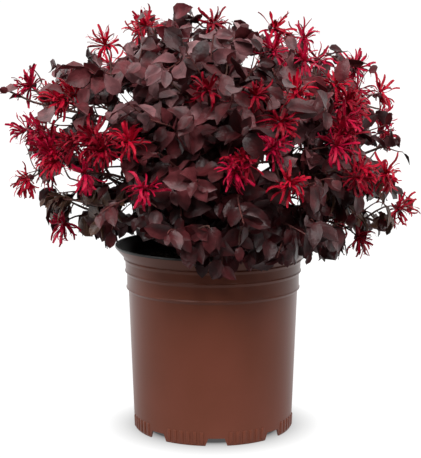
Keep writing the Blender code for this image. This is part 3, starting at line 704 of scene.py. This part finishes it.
def all_limbs():
    """The boughs, their side limbs and the leader, in the order of the masses that they carry."""
    rng = seeded("limbs")
    forks = fork_tips()
    bough_radii = between(FORK_TIP_RADIUS, BOUGH_TIP_RADIUS, LIMB_POINTS)
    side_radii = between(SIDE_LIMB_RADIUS, SIDE_LIMB_TIP_RADIUS, LIMB_POINTS)
    boughs, side_limbs = [], []
    for k in range(RING_MASSES):
        tip, way = forks[k]
        end = ring_point(low_turn(k), LOW_FOOT_RADIUS, LOW_FOOT_HEIGHT)
        points = limb_path(tip + way * GAP, way, end, leaning(low_turn(k), math.radians(72)), rng)
        boughs.append(Limb(points, bough_radii))
    for k in range(RING_MASSES):
        along = boughs[k].points[SIDE_LIMB_SEGMENT : SIDE_LIMB_SEGMENT + 2]
        root = along[0].lerp(along[1], 0.5)
        end = ring_point(high_turn(k), HIGH_FOOT_RADIUS, HIGH_FOOT_HEIGHT)
        way = ((end - root).normalized() + UP).normalized()
        points = limb_path(root, way, end, leaning(high_turn(k), math.radians(28)), rng)
        side_limbs.append(Limb(points, side_radii))
    tip, way = forks[-1]
    points = limb_path(tip + way * GAP, way, Vector((0, 0, TOP_FOOT_HEIGHT)), UP, rng)
    return boughs, side_limbs, Limb(points, bough_radii)


def flowing(points, radii, count):
    """A smooth line through a few points, with its radii, for drawing."""
    ends = [points[0] * 2 - points[1]] + points + [points[-1] * 2 - points[-2]]
    line, widths = [], []
    for share in between(0, len(points) - 1, count):
        i = min(int(share), len(points) - 2)
        t = share - i
        a, b, c, d = ends[i : i + 4]
        curve = b * 2 + (c - a) * t + (a * 2 - b * 5 + c * 4 - d) * t**2 + (b * 3 - a - c * 3 + d) * t**3
        line.append(curve * 0.5)
        widths.append(radii[i] + (radii[i + 1] - radii[i]) * t)
    return line, widths


def barked(mesh, relief):
    """Raises the bark's plates and opens its fissures, which run along the limbs."""
    bm = bmesh.new()
    bm.from_mesh(mesh)
    bmesh.ops.recalc_face_normals(bm, faces=bm.faces)
    for vertex in bm.verts:
        place = Vector((vertex.co.x * 900, vertex.co.y * 900, vertex.co.z * 260))
        vertex.co += vertex.normal * relief * noise.noise(place)
    bm.to_mesh(mesh)
    bm.free()
    mesh.shade_smooth()
    return mesh


def make_stem(bark):
    """The short stem, with a lobed root flare and a flat cut on the mix, and its fork into seven."""
    bm = bmesh.new()
    bmesh.ops.create_cone(bm, cap_ends=True, segments=STEM_FACETS, radius1=1, radius2=1, depth=1)
    upright = [edge for edge in bm.edges if abs(edge.verts[0].co.z - edge.verts[1].co.z) > 0.5]
    bmesh.ops.subdivide_edges(bm, edges=upright, cuts=STEM_CUTS)
    for vertex in bm.verts:
        share = vertex.co.z + 0.5
        turn = math.atan2(vertex.co.y, vertex.co.x)
        lobe = 0.5 + 0.5 * math.cos(FLARE_LOBES * turn)
        radius = STEM_BASE_RADIUS + (STEM_TOP_RADIUS - STEM_BASE_RADIUS) * share
        wide = radius * (1 + (1 - share) ** 3 * FLARE * (0.45 + 0.55 * lobe))
        vertex.co = stem_foot() + UP * STEM_HEIGHT * share + STEM_LEAN * share + ring_point(turn, wide, 0)
    mesh = smooth_mesh("flared_stem", bm, 60)
    piece("flared_stem", barked(mesh, BARK_RELIEF), [bark], ["main_stem"])
    forks = []
    for tip, _ in fork_tips():
        points = [fork_root().lerp(tip, share) for share in between(0.02, 1, 14)]
        forks.append((points, between(FORK_BASE_RADIUS, FORK_TIP_RADIUS, 14)))
    mesh = stalks("stem_forks", forks, 4)
    piece("stem_forks", barked(mesh, BARK_RELIEF), [bark], ["main_stem"])


def make_limbs(boughs, side_limbs, leader, bark):
    groups = (
        ("boughs", boughs + [leader], [f"bough_{name}" for name in LOW_NAMES] + ["bough_top"]),
        ("side_limbs", side_limbs, [f"side_limb_{name}" for name in HIGH_NAMES]),
    )
    for name, limbs, nodes in groups:
        mesh = stalks(name, [flowing(limb.points, limb.radii, 40) for limb in limbs], 4)
        piece(name, barked(mesh, BARK_RELIEF * 0.7), [bark], nodes)


# Crown


def outline_share(point):
    """0 at the crown's heart, 1 on its outline."""
    off = point - HEART
    rise = CROWN_RISE if off.z > 0 else CROWN_DROP
    right = (off.x - CROWN_LEAN * off.z) / CROWN_SPREAD
    return math.hypot(right, off.y / CROWN_DEPTH, off.z / rise)


def drawn_share(point):
    """As outline_share, with the fuller shoulders of the drawn crown."""
    off = point - HEART
    rise = CROWN_RISE if off.z > 0 else CROWN_DROP
    across = math.hypot((off.x - CROWN_LEAN * off.z) / CROWN_SPREAD, off.y / CROWN_DEPTH)
    return (across**SHOULDERS + abs(off.z / rise) ** SHOULDERS) ** (1 / SHOULDERS)


def on_outline(way, share):
    """The point that lies at a share of the way from the heart to the outline."""
    return HEART + way * (share / outline_share(HEART + way))


def seen_point(right, height):
    """Where the line of sight through a place, in millimetres, first comes near the outline."""
    place = Vector((right / 1000, 0, height / 1000))
    sight = [EYE.lerp(place, share) for share in between(0.84, 1.04, 80)]
    return min(sight, key=lambda point: max(outline_share(point) - SEEN_DEPTH, 0) * 10 + point.y / 2)


def clear_of_pot(point):
    return point.z > POT_HEIGHT + POT_CLEARANCE or point.xy.length > widest_radius(point.z) + POT_CLEARANCE


def front_place(point):
    """Where the photographer, from the front, sees a point, in millimetres."""
    return EYE.lerp(point, EYE.y / (EYE.y - point.y)) / MM


def within_front(point, margin=0, slack=0):
    """True if the front shows the point within the crown's edge and not in the sky."""
    across = front_place(point)
    heights, left, right = zip(*FRONT_EDGE)
    if not heights[0] < across.z < heights[-1]:
        return False
    reach = [np.interp(across.z, heights, side) for side in (left, right)]
    if not reach[0] - slack < across.x < reach[1] + slack:
        return False
    return all(math.hypot(across.x - x, across.z - z) > radius + margin for x, z, radius in SKY)


def within_box(point):
    """True if the point is within the solids' box and clear of the pot."""
    return clear_of_pot(point) and all(a + MM < v < b - MM for a, v, b in zip(CAD_BOX[0], point, CAD_BOX[1]))


class Shoot:
    """Where a twig ends, and whether it ends in a blossom."""

    def __init__(self, point, blossom):
        self.point = point
        self.blossom = blossom


def crown_shoots():
    """Every shoot: those that the front shows, then all that keep apart on a spiral over the outline."""
    rng = seeded("shoots")
    shoots = [Shoot(seen_point(*place), place not in SEEN_BUDS) for place in SEEN_BLOSSOMS]
    shoots += [Shoot(seen_point(*place), False) for place in SEEN_SHOOTS]
    area = math.pi * (CROWN_SPREAD + CROWN_DEPTH) * (CROWN_RISE + CROWN_DROP) * 1.25
    count = int(area / SHOOT_SPACING**2 * SHOOT_CHOICE)
    golden = math.pi * (3 - math.sqrt(5))
    for i in range(count):
        height = 1 - 2 * (i + 0.5) / count
        way = ring_point(golden * i + rng.uniform(-0.1, 0.1), math.sqrt(1 - height * height), height)
        point = on_outline(way, rng.uniform(*SHOOT_DEPTH))
        blossom = rng.random() < BLOSSOM_SHARE and point.y > -0.09
        apart = min((point - other.point).length for other in shoots) > SHOOT_SPACING
        if apart and clear_of_pot(point):
            shoots.append(Shoot(point, blossom))
    return shoots


def fill_shoots(shoots):
    """Ends for the finer twigs: close through the inner crown, and loose sprays out to its edge."""
    rng = seeded("fill")
    made = [Shoot(seen_point(*place), True) for place in MORE_BLOSSOMS]
    made += [Shoot(seen_point(*place), False) for place in MORE_SHOOTS]
    kept = np.array([shoot.point for shoot in shoots + made])
    for depth, spacing, choice, blossom_share in (
        (SPRAY_DEPTH, SPRAY_SPACING, SPRAY_CHOICE, SPRAY_BLOSSOM_SHARE),
        (FILL_DEPTH, FILL_SPACING, FILL_CHOICE, 0),
    ):
        for _ in range(choice):
            way = Vector([rng.gauss(0, 1) for _ in range(3)]).normalized()
            share = rng.uniform(depth[0] ** 3, depth[1] ** 3) ** (1 / 3)
            point = HEART + way * (share / drawn_share(HEART + way))
            free = np.min(np.sum((kept - point) ** 2, axis=1)) > spacing**2
            if free and clear_of_pot(point) and within_front(point):
                kept = np.vstack([kept, point])
                made.append(Shoot(point, point.y > 0 and point.z > 0.26 and rng.random() < blossom_share))
    return made


def mass_centres():
    low = [ring_point(low_turn(k), LOW_MASS_RADIUS, LOW_MASS_HEIGHT) for k in range(RING_MASSES)]
    high = [ring_point(high_turn(k), HIGH_MASS_RADIUS, HIGH_MASS_HEIGHT) for k in range(RING_MASSES)]
    return low + high + [Vector((0, 0, TOP_MASS_HEIGHT))]


def mass_nodes():
    low = [f"foliage_low_{name}" for name in LOW_NAMES]
    high = [f"foliage_high_{name}" for name in HIGH_NAMES]
    return low + high + ["foliage_top"]


# Twigs


class Twig:
    """A twig: the few points of its solid, by which the rule goes, and the smooth line that is drawn."""

    def __init__(self, curve, radii, along, count, drawn_root, blossom):
        self.points = [bezier(*curve, share) for share in between(0, 1, count)]
        self.line = [bezier(drawn_root, *curve[1:], share) for share in between(0, 1, 8)]
        self.radii = radii
        self.along = along
        self.blossom = blossom
        self.parent = None
        self.reach = 0.0  # how far along it last bears a leaf, a blossom or another twig
        self.length = sum((after - before).length for before, after in zip(self.points, self.points[1:]))

    def at(self, share, points):
        """(point, direction) at a share of the way along the points."""
        place = share * (len(points) - 1)
        i = min(int(place), len(points) - 2)
        return points[i].lerp(points[i + 1], place - i), (points[i + 1] - points[i]).normalized()


def resting_way(point):
    """The way a shoot's end points: outwards and up on top, outwards and drooping below."""
    outward = (point - HEART).normalized()
    return (outward * 0.8 + UP * (0.9 * outward.z - 0.15)).normalized()


def twig_to(shoot, root, drawn_root, way, radii, along, count):
    length = (shoot.point - root).length
    curve = (root, way * length * 0.32, resting_way(shoot.point) * length * 0.35, shoot.point)
    return Twig(curve, radii, along, count, drawn_root, shoot.blossom)


def best_root(shoot, twigs):
    """(twig, share, point, direction, path) from which a new twig reaches the shoot soonest."""
    best = None
    for twig in twigs:
        for share in TWIG_ROOTS:
            point, way = twig.at(share, twig.points)
            to_shoot = shoot.point - point
            along = twig.along + twig.length * share
            back = max(0, 0.35 - to_shoot.normalized().dot(way))
            cost = to_shoot.length * (1 + back) + along * 0.4
            if best is None or cost < best[0]:
                best = (cost, twig, share, point, way, along)
    return best[1:]


def branch(shoot, twigs, radii, count):
    """A new twig to a shoot from the nearest twig that is there."""
    twig, share, point, way, along = best_root(shoot, twigs)
    leaving = (way * 0.5 + (shoot.point - point).normalized() * 0.8).normalized()
    made = twig_to(shoot, point, twig.at(share, twig.line)[0], leaving, radii, along, count)
    made.parent = twig
    made.root_share = share
    return made


def grow_twigs(limb, centre, shoots, fill):
    """A stem from the limb's tip, a twig to every shoot, and finer twigs between them."""
    foot = limb.tip + limb.tip_way * GAP
    heading = (centre - foot).normalized()
    leader = max(shoots, key=lambda shoot: (shoot.point - foot).dot(heading))
    twigs = [twig_to(leader, foot, foot, limb.tip_way, STEM_TWIG_RADII, 0, 5)]
    for shoot in sorted(shoots, key=lambda shoot: (shoot.point - foot).length):
        if shoot is not leader:
            twigs.append(branch(shoot, twigs, SIDE_TWIG_RADII, 3))
    main = len(twigs)
    for shoot in sorted(fill, key=lambda shoot: (shoot.point - foot).length):
        twig = branch(shoot, twigs, FINE_TWIG_RADII, 3)
        if all(clear_of_pot(point) for point in twig.line):
            twigs.append(twig)
    return twigs[:main], twigs[main:]


def grown_crown():
    """The main twigs and the fine twigs of every mass."""
    boughs, side_limbs, leader = all_limbs()
    limbs = boughs + side_limbs + [leader]
    centres = mass_centres()
    shoots = crown_shoots()
    fill = fill_shoots(shoots)
    main, fine = [], []
    for k, limb in enumerate(limbs):
        own, between_them = (
            [s for s in some if min(range(len(centres)), key=lambda m: (centres[m] - s.point).length) == k]
            for some in (shoots, fill)
        )
        grown = grow_twigs(limb, centres[k], own, between_them)
        main += grown[0]
        fine += grown[1]
    return main, fine


def make_twigs(main, fine, brown_twig, red_twig):
    """Every twig, as far along as it bears something."""
    for twig in reversed(main + fine):
        if twig.parent and twig.reach:
            twig.parent.reach = max(twig.parent.reach, twig.root_share)
    for name, twigs, roundness, bark in (("main_twigs", main, 1, brown_twig), ("fine_twigs", fine, 0, red_twig)):
        lines = []
        for twig in twigs:
            if twig.reach:
                shares = between(0, twig.reach, len(twig.line))
                first, last = twig.radii
                radii = [first + (last - first) * share for share in shares]
                lines.append(([twig.at(share, twig.line)[0] for share in shares], radii))
        piece(name, stalks(name, lines, roundness), [bark], mass_nodes())


# Leaves


def skinned(bm, thickness):
    """A sheet that lies along X and Y, as a shape with two sides and a rim."""
    copy = bmesh.ops.extrude_face_region(bm, geom=bm.faces, use_keep_orig=True)["geom"]
    under = [item for item in copy if isinstance(item, bmesh.types.BMVert)]
    bmesh.ops.translate(bm, verts=under, vec=(0, 0, -thickness))
    bmesh.ops.recalc_face_normals(bm, faces=bm.faces)
    return Shape(bm)


def leaf_outline(share):
    """Half the blade's width along it, as a share of the widest: a round base and a pointed tip."""
    return math.sin(math.pi * share**0.85) ** 0.66 if 0 < share < 1 else 0


def leaf_shape(arch, fold, twist, curl):
    """An oval leaf of unit length on a short stalk, cupped about its midrib and wavy at its margins."""
    bm = bmesh.new()
    steps = len(LEAF_STATIONS) - 1
    bmesh.ops.create_grid(bm, x_segments=steps, y_segments=4, size=0.5)
    for vertex in bm.verts:
        along = LEAF_STATIONS[round((vertex.co.x + 0.5) * steps)]
        side = round(vertex.co.y * 4) / 2
        blade = max(0.0, (along - LEAF_STALK) / (1 - LEAF_STALK))
        if blade == 0:
            side = math.trunc(side)
        half = LEAF_STALK_HALF * (1 - blade) + LEAF_WIDTH / 2 * leaf_outline(blade)
        wave = curl * math.sin(math.tau * blade * 1.3 + side * 1.7) * abs(side)
        rise = fold * half * abs(side) ** 1.1 - arch * blade**2 + wave
        vertex.co = Matrix.Rotation(twist * blade, 3, "X") @ Vector((along, half * side, rise))
    bmesh.ops.remove_doubles(bm, verts=bm.verts, dist=0.003)
    return skinned(bm, LEAF_SKIN)


def leaf_way(point, way, side, rng):
    """(direction, facing) of a leaf: to one side of its twig, its face to the light, drooping low down.

    On top of the crown, where the shoots stand upright, the faces turn every way about them.
    """
    outward = (point - HEART).normalized()
    low = min(1, max(0, (0.36 - point.z) / 0.12))
    high = min(1, max(0, (point.z - 0.37) / 0.07))
    facing = outward * (0.8 + 0.5 * low - 0.55 * high) + UP * (0.55 - 0.25 * low - 0.35 * high)
    facing += Vector((outward.x, outward.y, 0)).normalized() * high * 0.7 + random_vector(rng, 0.8 + 0.1 * high)
    across = facing.cross(way).normalized()
    droop = 0.22 + 0.55 * low
    return way * 0.5 + across * side * 0.75 - UP * droop + random_vector(rng, 0.32), facing


def spray_tint(twig, rng):
    """Which tint all the leaves of a twig have: the darkest are deep inside and low down, a painted shade, and the
    palest on top, a painted sheen.
    """
    end = twig.points[-1]
    # Painted shade: sprays deep inside the crown get the darkest tints
    if drawn_share(end) < 0.70:
        return rng.choice(("blackish", "blackish", "burgundy"))
    if end.z < 0.30 and abs(end.x) > 0.11 and rng.random() < 0.35:
        return "bronze"
    # Painted shade: low sprays get mostly the darkest tints
    if end.z < 0.30:
        return rng.choice(("blackish", "blackish", "blackish", "blackish", "burgundy", "burgundy", "burgundy"))
    if not twig.blossom and rng.random() < 0.05:
        return "young_red"
    # Painted sheen: only top sprays get the palest tint
    if end.z > 0.38 and rng.random() < 0.09:
        return "painted_sheen_plum"
    # Painted shade and sheen: middle sprays get the pale dusky tint less often than the top ones
    if end.z < 0.37:
        return rng.choice(("blackish", "blackish", "burgundy", "burgundy", "wine", "wine", "dusky_plum"))
    return rng.choice(("blackish", "burgundy", "burgundy", "wine", "wine", "dusky_plum", "dusky_plum"))


def grow_leaves(twigs, heads):
    """(shape, matrix) of every leaf, by tint. Leaves stand on alternate sides of every twig."""
    rng = seeded("leaves")
    shapes = [
        leaf_shape(arch, fold, twist, curl)
        for arch, fold, twist, curl in (
            (0.12, 0.30, 0.10, 0.024),
            (0.24, 0.40, 0.30, 0.034),
            (0.32, 0.26, -0.35, -0.030),
            (0.06, 0.50, 0.20, 0.040),
            (0.40, 0.34, -0.15, 0.024),
            (-0.06, 0.34, 0.40, -0.038),
            (0.18, -0.16, -0.25, 0.030),
        )
    ]
    centres = np.array([head.translation for head in heads])
    fronts = np.array([front_place(head.translation) for head in heads])

    def hides_head(spot):
        """True if the spot is before a head that the front shows."""
        away = np.hypot(*(fronts - front_place(spot))[:, ::2].T)
        return np.any((away < HEAD_SHOWN) & (centres[:, 1] > spot.y) & (centres[:, 1] < 0))

    tints = {}
    for twig in twigs:
        tint = spray_tint(twig, rng)
        count = max(2, round(twig.length * (1 - FIRST_LEAF) / LEAF_STEP))
        side = rng.choice((-1, 1))
        for i in range(count):
            side = -side
            ends = i == count - 1 and not twig.blossom
            share = 0.99 if ends else FIRST_LEAF + (0.97 - FIRST_LEAF) * (i + rng.uniform(0.2, 0.5)) / count
            point, way = twig.at(share, twig.line)
            for attempt in range(LEAF_TRIES):
                length = rng.uniform(*LEAF_LENGTH) * (0.82 if share > 0.85 else 1) * (1 - 0.03 * attempt)
                along, facing = leaf_way(point, way, side * (0.15 if ends else 1), rng)
                matrix = placed(point, along, facing)
                *blade, tip = [matrix @ Vector((length * part, 0, 0)) for part in (0.35, 0.7, 1)]
                apart = min(np.min(np.sum((centres - spot) ** 2, axis=1)) for spot in (*blade, tip))
                if (
                    apart > HEAD_CLEAR**2
                    and not any(hides_head(spot) for spot in (*blade, tip))
                    and drawn_share(tip) < OUTLINE_SLACK
                    and all(within_box(spot) for spot in (*blade, tip))
                    and all(within_front(spot, LEAF_MARGIN, EDGE_SLACK) for spot in blade)
                    and within_front(tip, 0, EDGE_SLACK)
                ):
                    twig.reach = max(twig.reach, share)
                    leaf = (rng.choice(shapes), matrix @ Matrix.Scale(length, 4))
                    tints.setdefault(tint, []).append(leaf)
                    break
    return tints


# Blossoms


def ribbon_shape(curl, twist, wave):
    """A ribbon petal of unit length, narrow at its base and blunt at its tip, that curls downwards."""
    bm = bmesh.new()
    bmesh.ops.create_grid(bm, x_segments=RIBBON_STEPS, y_segments=1, size=0.5)
    line = [Vector((0, 0, 0))]
    for share in between(0, 1, RIBBON_STEPS + 1)[1:]:
        dip = curl * share**1.5 + wave * math.sin(math.tau * 1.2 * share)
        sway = wave * math.cos(math.tau * 0.9 * share)
        line.append(line[-1] + Vector((math.cos(dip), sway, -math.sin(dip))) / RIBBON_STEPS)
    for vertex in bm.verts:
        step = round((vertex.co.x + 0.5) * RIBBON_STEPS)
        along = step / RIBBON_STEPS
        half = RIBBON_WIDTH / 2 * min(1, 0.45 + along * 1.6) * (0.75 if step == RIBBON_STEPS else 1)
        side = 1 if vertex.co.y > 0 else -1
        vertex.co = line[step] + Matrix.Rotation(twist * along, 3, "X") @ Vector((0, half * side, 0))
    return skinned(bm, RIBBON_SKIN)


def head_places(twigs):
    """A matrix for the flower head at the end of every twig that has one. X points out of the head."""
    rng = seeded("heads")
    heads = []
    for twig in twigs:
        if twig.blossom:
            for share in HEAD_SHARES:
                point, way = twig.at(share, twig.line)
                out = (way + (point - HEART).normalized()).normalized()
                head = placed(point + out * HEAD_LIFT, out, UP)
                if within_box(head.translation) and within_front(head.translation, 0, -HEAD_INSET):
                    twig.reach = share
                    heads.append(head)
                    break
            aside = out.cross(random_vector(rng, 1)).normalized()
            if aside.dot(HEART - point) < 0:
                aside = -aside
            twin = placed(point + aside * TWIN_APART - out * HEAD_LIFT, out + aside * 0.5, UP)
            seen = within_box(twin.translation) and within_front(twin.translation, 0, -HEAD_INSET)
            if twig.reach and seen and point.y > 0 and rng.random() < TWIN_SHARE:
                heads.append(twin)
    return heads


def make_blossoms(heads, tints, cup):
    """Tufts of crimson ribbons, each from a small dark cup."""
    rng = seeded("blossoms")
    shapes = [
        ribbon_shape(curl, twist, wave)
        for curl, twist, wave in (
            (0.2, 0.5, 0.12),
            (0.7, -0.8, 0.20),
            (1.2, 0.5, -0.16),
            (0.1, 0.9, 0.28),
            (1.7, -0.4, 0.14),
            (-0.5, 0.7, -0.24),
        )
    ]
    bm = bmesh.new()
    bmesh.ops.create_icosphere(bm, subdivisions=1, radius=0.0032)
    cup_shape = Shape(bm)
    heaps = {tint: [] for tint in tints}
    cups = []
    for head in heads:
        tint = rng.choice(list(tints))
        middle = head.translation
        out = head.to_3x3() @ Vector((1, 0, 0))
        for _ in range(3):
            place = middle + random_vector(rng, 0.0035) - out * 0.002
            cups.append((cup_shape, Matrix.Translation(place)))
        wanted = rng.randint(*RIBBONS)
        while wanted:
            wanted -= 1
            way = Vector([rng.gauss(0, 1) for _ in range(3)]).normalized()
            if way.dot(out) < RIBBON_SPREAD:
                way = way - out * 2 * way.dot(out)
            length = rng.uniform(*RIBBON_LENGTH)
            matrix = placed(middle + way * 0.001, way, UP + random_vector(rng, 0.5))
            end = matrix @ Vector((length * 0.8, 0, 0))
            if within_box(end) and within_front(end, 0, RIBBON_LENGTH[1] / MM):
                heaps[tint].append((rng.choice(shapes), matrix @ Matrix.Scale(length, 4)))
    for tint, heap in heaps.items():
        name = f"ribbon_petals_{tint}"
        piece(name, strewn(name, heap, 60), [tints[tint]], mass_nodes())
    piece("flower_cups", strewn("flower_cups", cups), [cup], mass_nodes())


# Studio


def exposed(tree, light, seen, socket):
    """Gives a socket one value for the light that it throws, and another as the camera sees it."""
    camera_ray = add(tree, "LightPath", {}, {}).outputs["Is Camera Ray"]
    strength = add(tree, "MapRange", {}, {"Value": camera_ray, "To Min": light, "To Max": seen})
    tree.links.new(strength.outputs["Result"], socket)


def make_studio():
    """A pale floor, a bright backdrop, a dim room before it, a row of soft key lights and the camera.

    The camera sees floor and room overexposed to white, as in the photograph.
    """
    scene = bpy.context.scene
    bm = bmesh.new()
    bmesh.ops.create_grid(bm, x_segments=1, y_segments=1, size=12)
    mesh = bpy.data.meshes.new("floor")
    bm.to_mesh(mesh)
    bm.free()
    floor = bpy.data.objects.new("floor", mesh)
    scene.collection.objects.link(floor)
    paper = finish("pale studio paper", "#4c4c4c", "#505050", 200, 0.9, 0.0, 5, shine=0.0)
    tree = paper.node_tree
    shader = tree.nodes["Principled BSDF"]
    shader.inputs["Emission Color"].default_value = (1, 1, 1, 1)
    place = add(tree, "TexCoord", {}, {}).outputs["Object"]
    # Painted contact shadow: the glow that the camera sees is low beneath the pot and rises with the distance from
    # its middle
    far = add(tree, "VectorMath", {"operation": "LENGTH"}, {"Vector": place}).outputs["Value"]
    ends = {"Value": far, "From Min": PAINTED_SHADOW_RADII[0], "From Max": PAINTED_SHADOW_RADII[1]}
    share = add(tree, "MapRange", {}, ends).outputs["Result"]
    share = add(tree, "Math", {"operation": "SQRT"}, {0: share}).outputs["Value"]
    ends = {"Value": share, "To Min": FLOOR_GLOW[0], "To Max": FLOOR_GLOW[1]}
    glow = add(tree, "MapRange", {}, ends).outputs["Result"]
    depth = add(tree, "SeparateXYZ", {}, {"Vector": place}).outputs["Y"]
    ends = {"Value": depth, "From Min": -0.5, "From Max": 0.5, "To Min": 0.0, "To Max": SWEEP_LIGHT}
    sweep = add(tree, "MapRange", {}, ends).outputs["Result"]
    exposed(tree, sweep, glow, shader.inputs["Emission Strength"])
    mesh.materials.append(paper)
    world = bpy.data.worlds.new("studio")
    world.use_nodes = True
    scene.world = world
    tree = world.node_tree
    backdrop = tree.nodes["Background"].inputs
    backdrop["Color"].default_value = (1, 1, 1, 1)
    way = add(tree, "TexCoord", {}, {}).outputs["Generated"]
    behind = add(tree, "SeparateXYZ", {}, {"Vector": way}).outputs["Y"]
    ends = {"Value": behind, "From Min": -0.3, "From Max": 0.6, "To Min": BEFORE_STRENGTH, "To Max": BEHIND_STRENGTH}
    light = add(tree, "MapRange", {}, ends).outputs["Result"]
    exposed(tree, light, 1.05, backdrop["Strength"])
    for turn, tilt, strength in KEYS:
        key = bpy.data.lights.new("soft key light", "SUN")
        key.energy = strength
        key.angle = KEY_SPREAD
        lamp = bpy.data.objects.new("soft key light", key)
        lamp.rotation_euler = (math.radians(tilt), 0, math.radians(turn))
        scene.collection.objects.link(lamp)
    camera = bpy.data.objects.new("camera", bpy.data.cameras.new("camera"))
    camera.location = (-0.0029, -1.5175, 0.4553)
    camera.rotation_euler = (math.radians(81.61), 0, 0)
    camera.data.lens = 104.06
    scene.collection.objects.link(camera)
    scene.camera = camera
    scene.view_settings.view_transform = "Standard"


def main():
    # Injection-moulded polypropylene: an even semi-gloss with a barely uneven skin
    brown = finish("moulded brown polypropylene", "#5c3022", "#613326", 60, 0.36, 0.02, 1.5, shine=0.22)
    # The same pot's inner layer, black against light
    black = finish("moulded black polypropylene", "#0d0b0a", "#14110f", 30, 0.42, 0.02, 1.5)
    # Composted pine bark: dark, dull and crumbly
    crumbs = finish("composted pine bark", "#140d08", "#33231a", 3, 0.95, 0.8, 1.2)
    chips = [
        finish("dark bark chips", "#1d130d", "#33231a", 4, 0.9, 0.3, 0.8),
        finish("red brown bark chips", "#3a2218", "#54362a", 4, 0.88, 0.3, 0.8),
        finish("grey bark chips", "#40352c", "#5c4c40", 4, 0.92, 0.3, 0.8),
    ]
    # Old stems: grey brown and fissured
    bark = finish("fissured grey brown bark", "#2e211a", "#6b5546", 3, 0.88, 0.5, 0.9, stretch=3)
    # Young wood: reddish and downy
    brown_twig = finish("reddish brown twig bark", "#38201b", "#5e3a31", 3, 0.8, 0.1, 0.6, stretch=2)
    red_twig = finish("young red twig bark", "#4a1f1d", "#6d3732", 3, 0.7, 0.05, 0.6)
    make_pot(brown, black)
    make_foot_ribs(brown)
    make_potting_mix(crumbs)
    make_chips(chips)
    make_stem(bark)
    make_limbs(*all_limbs(), bark)
    main_twigs, fine_twigs = grown_crown()
    heads = head_places(main_twigs + fine_twigs)
    # Leathery leaves with a fine down: dark, with a soft greyish sheen where they face the light. The palest tint is
    # a painted sheen on the top sprays, and the darkest tints go mostly to sprays inside and low down, a painted
    # shade
    leaf_colours = {
        "blackish": ("#1e0406", "#390d10"),
        "burgundy": ("#310d10", "#511e21"),
        "wine": ("#45181b", "#682f33"),
        "dusky_plum": ("#502f32", "#794a4d"),
        # Painted sheen: the palest tint, which only the top sprays get
        "painted_sheen_plum": ("#614243", "#8b6264"),
        "bronze": ("#36211a", "#573b2c"),
        "young_red": ("#4a151b", "#6e262d"),
    }
    for tint, leaves in grow_leaves(main_twigs + fine_twigs, heads).items():
        name = f"leaves_{tint}"
        skin = finish(f"{tint} leaf".replace("_", " "), *leaf_colours[tint], 12, 0.40, 0.5, 3.0, shine=0.28)
        piece(name, strewn(name, leaves, 55), [skin], mass_nodes())
        print(name, len(leaves))
    make_twigs(main_twigs, fine_twigs, brown_twig, red_twig)
    # Petals: thin, moist and saturated
    petals = {
        "crimson": finish("crimson petal", "#92021e", "#b6082a", 5, 0.5, 0.05, 1.2, shine=0.15),
        "deep_crimson": finish("deep crimson petal", "#720118", "#940420", 5, 0.5, 0.05, 1.2, shine=0.15),
        "rosy_crimson": finish("rosy crimson petal", "#94042a", "#b80c38", 5, 0.5, 0.05, 1.2, shine=0.15),
    }
    make_blossoms(heads, petals, finish("dark red flower cup", "#3a0d14", "#5a1620", 3, 0.6, 0.1, 0.8))
    print("heads", len(heads), "main twigs", len(main_twigs), "fine twigs", len(fine_twigs))
    make_studio()
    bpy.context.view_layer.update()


main()
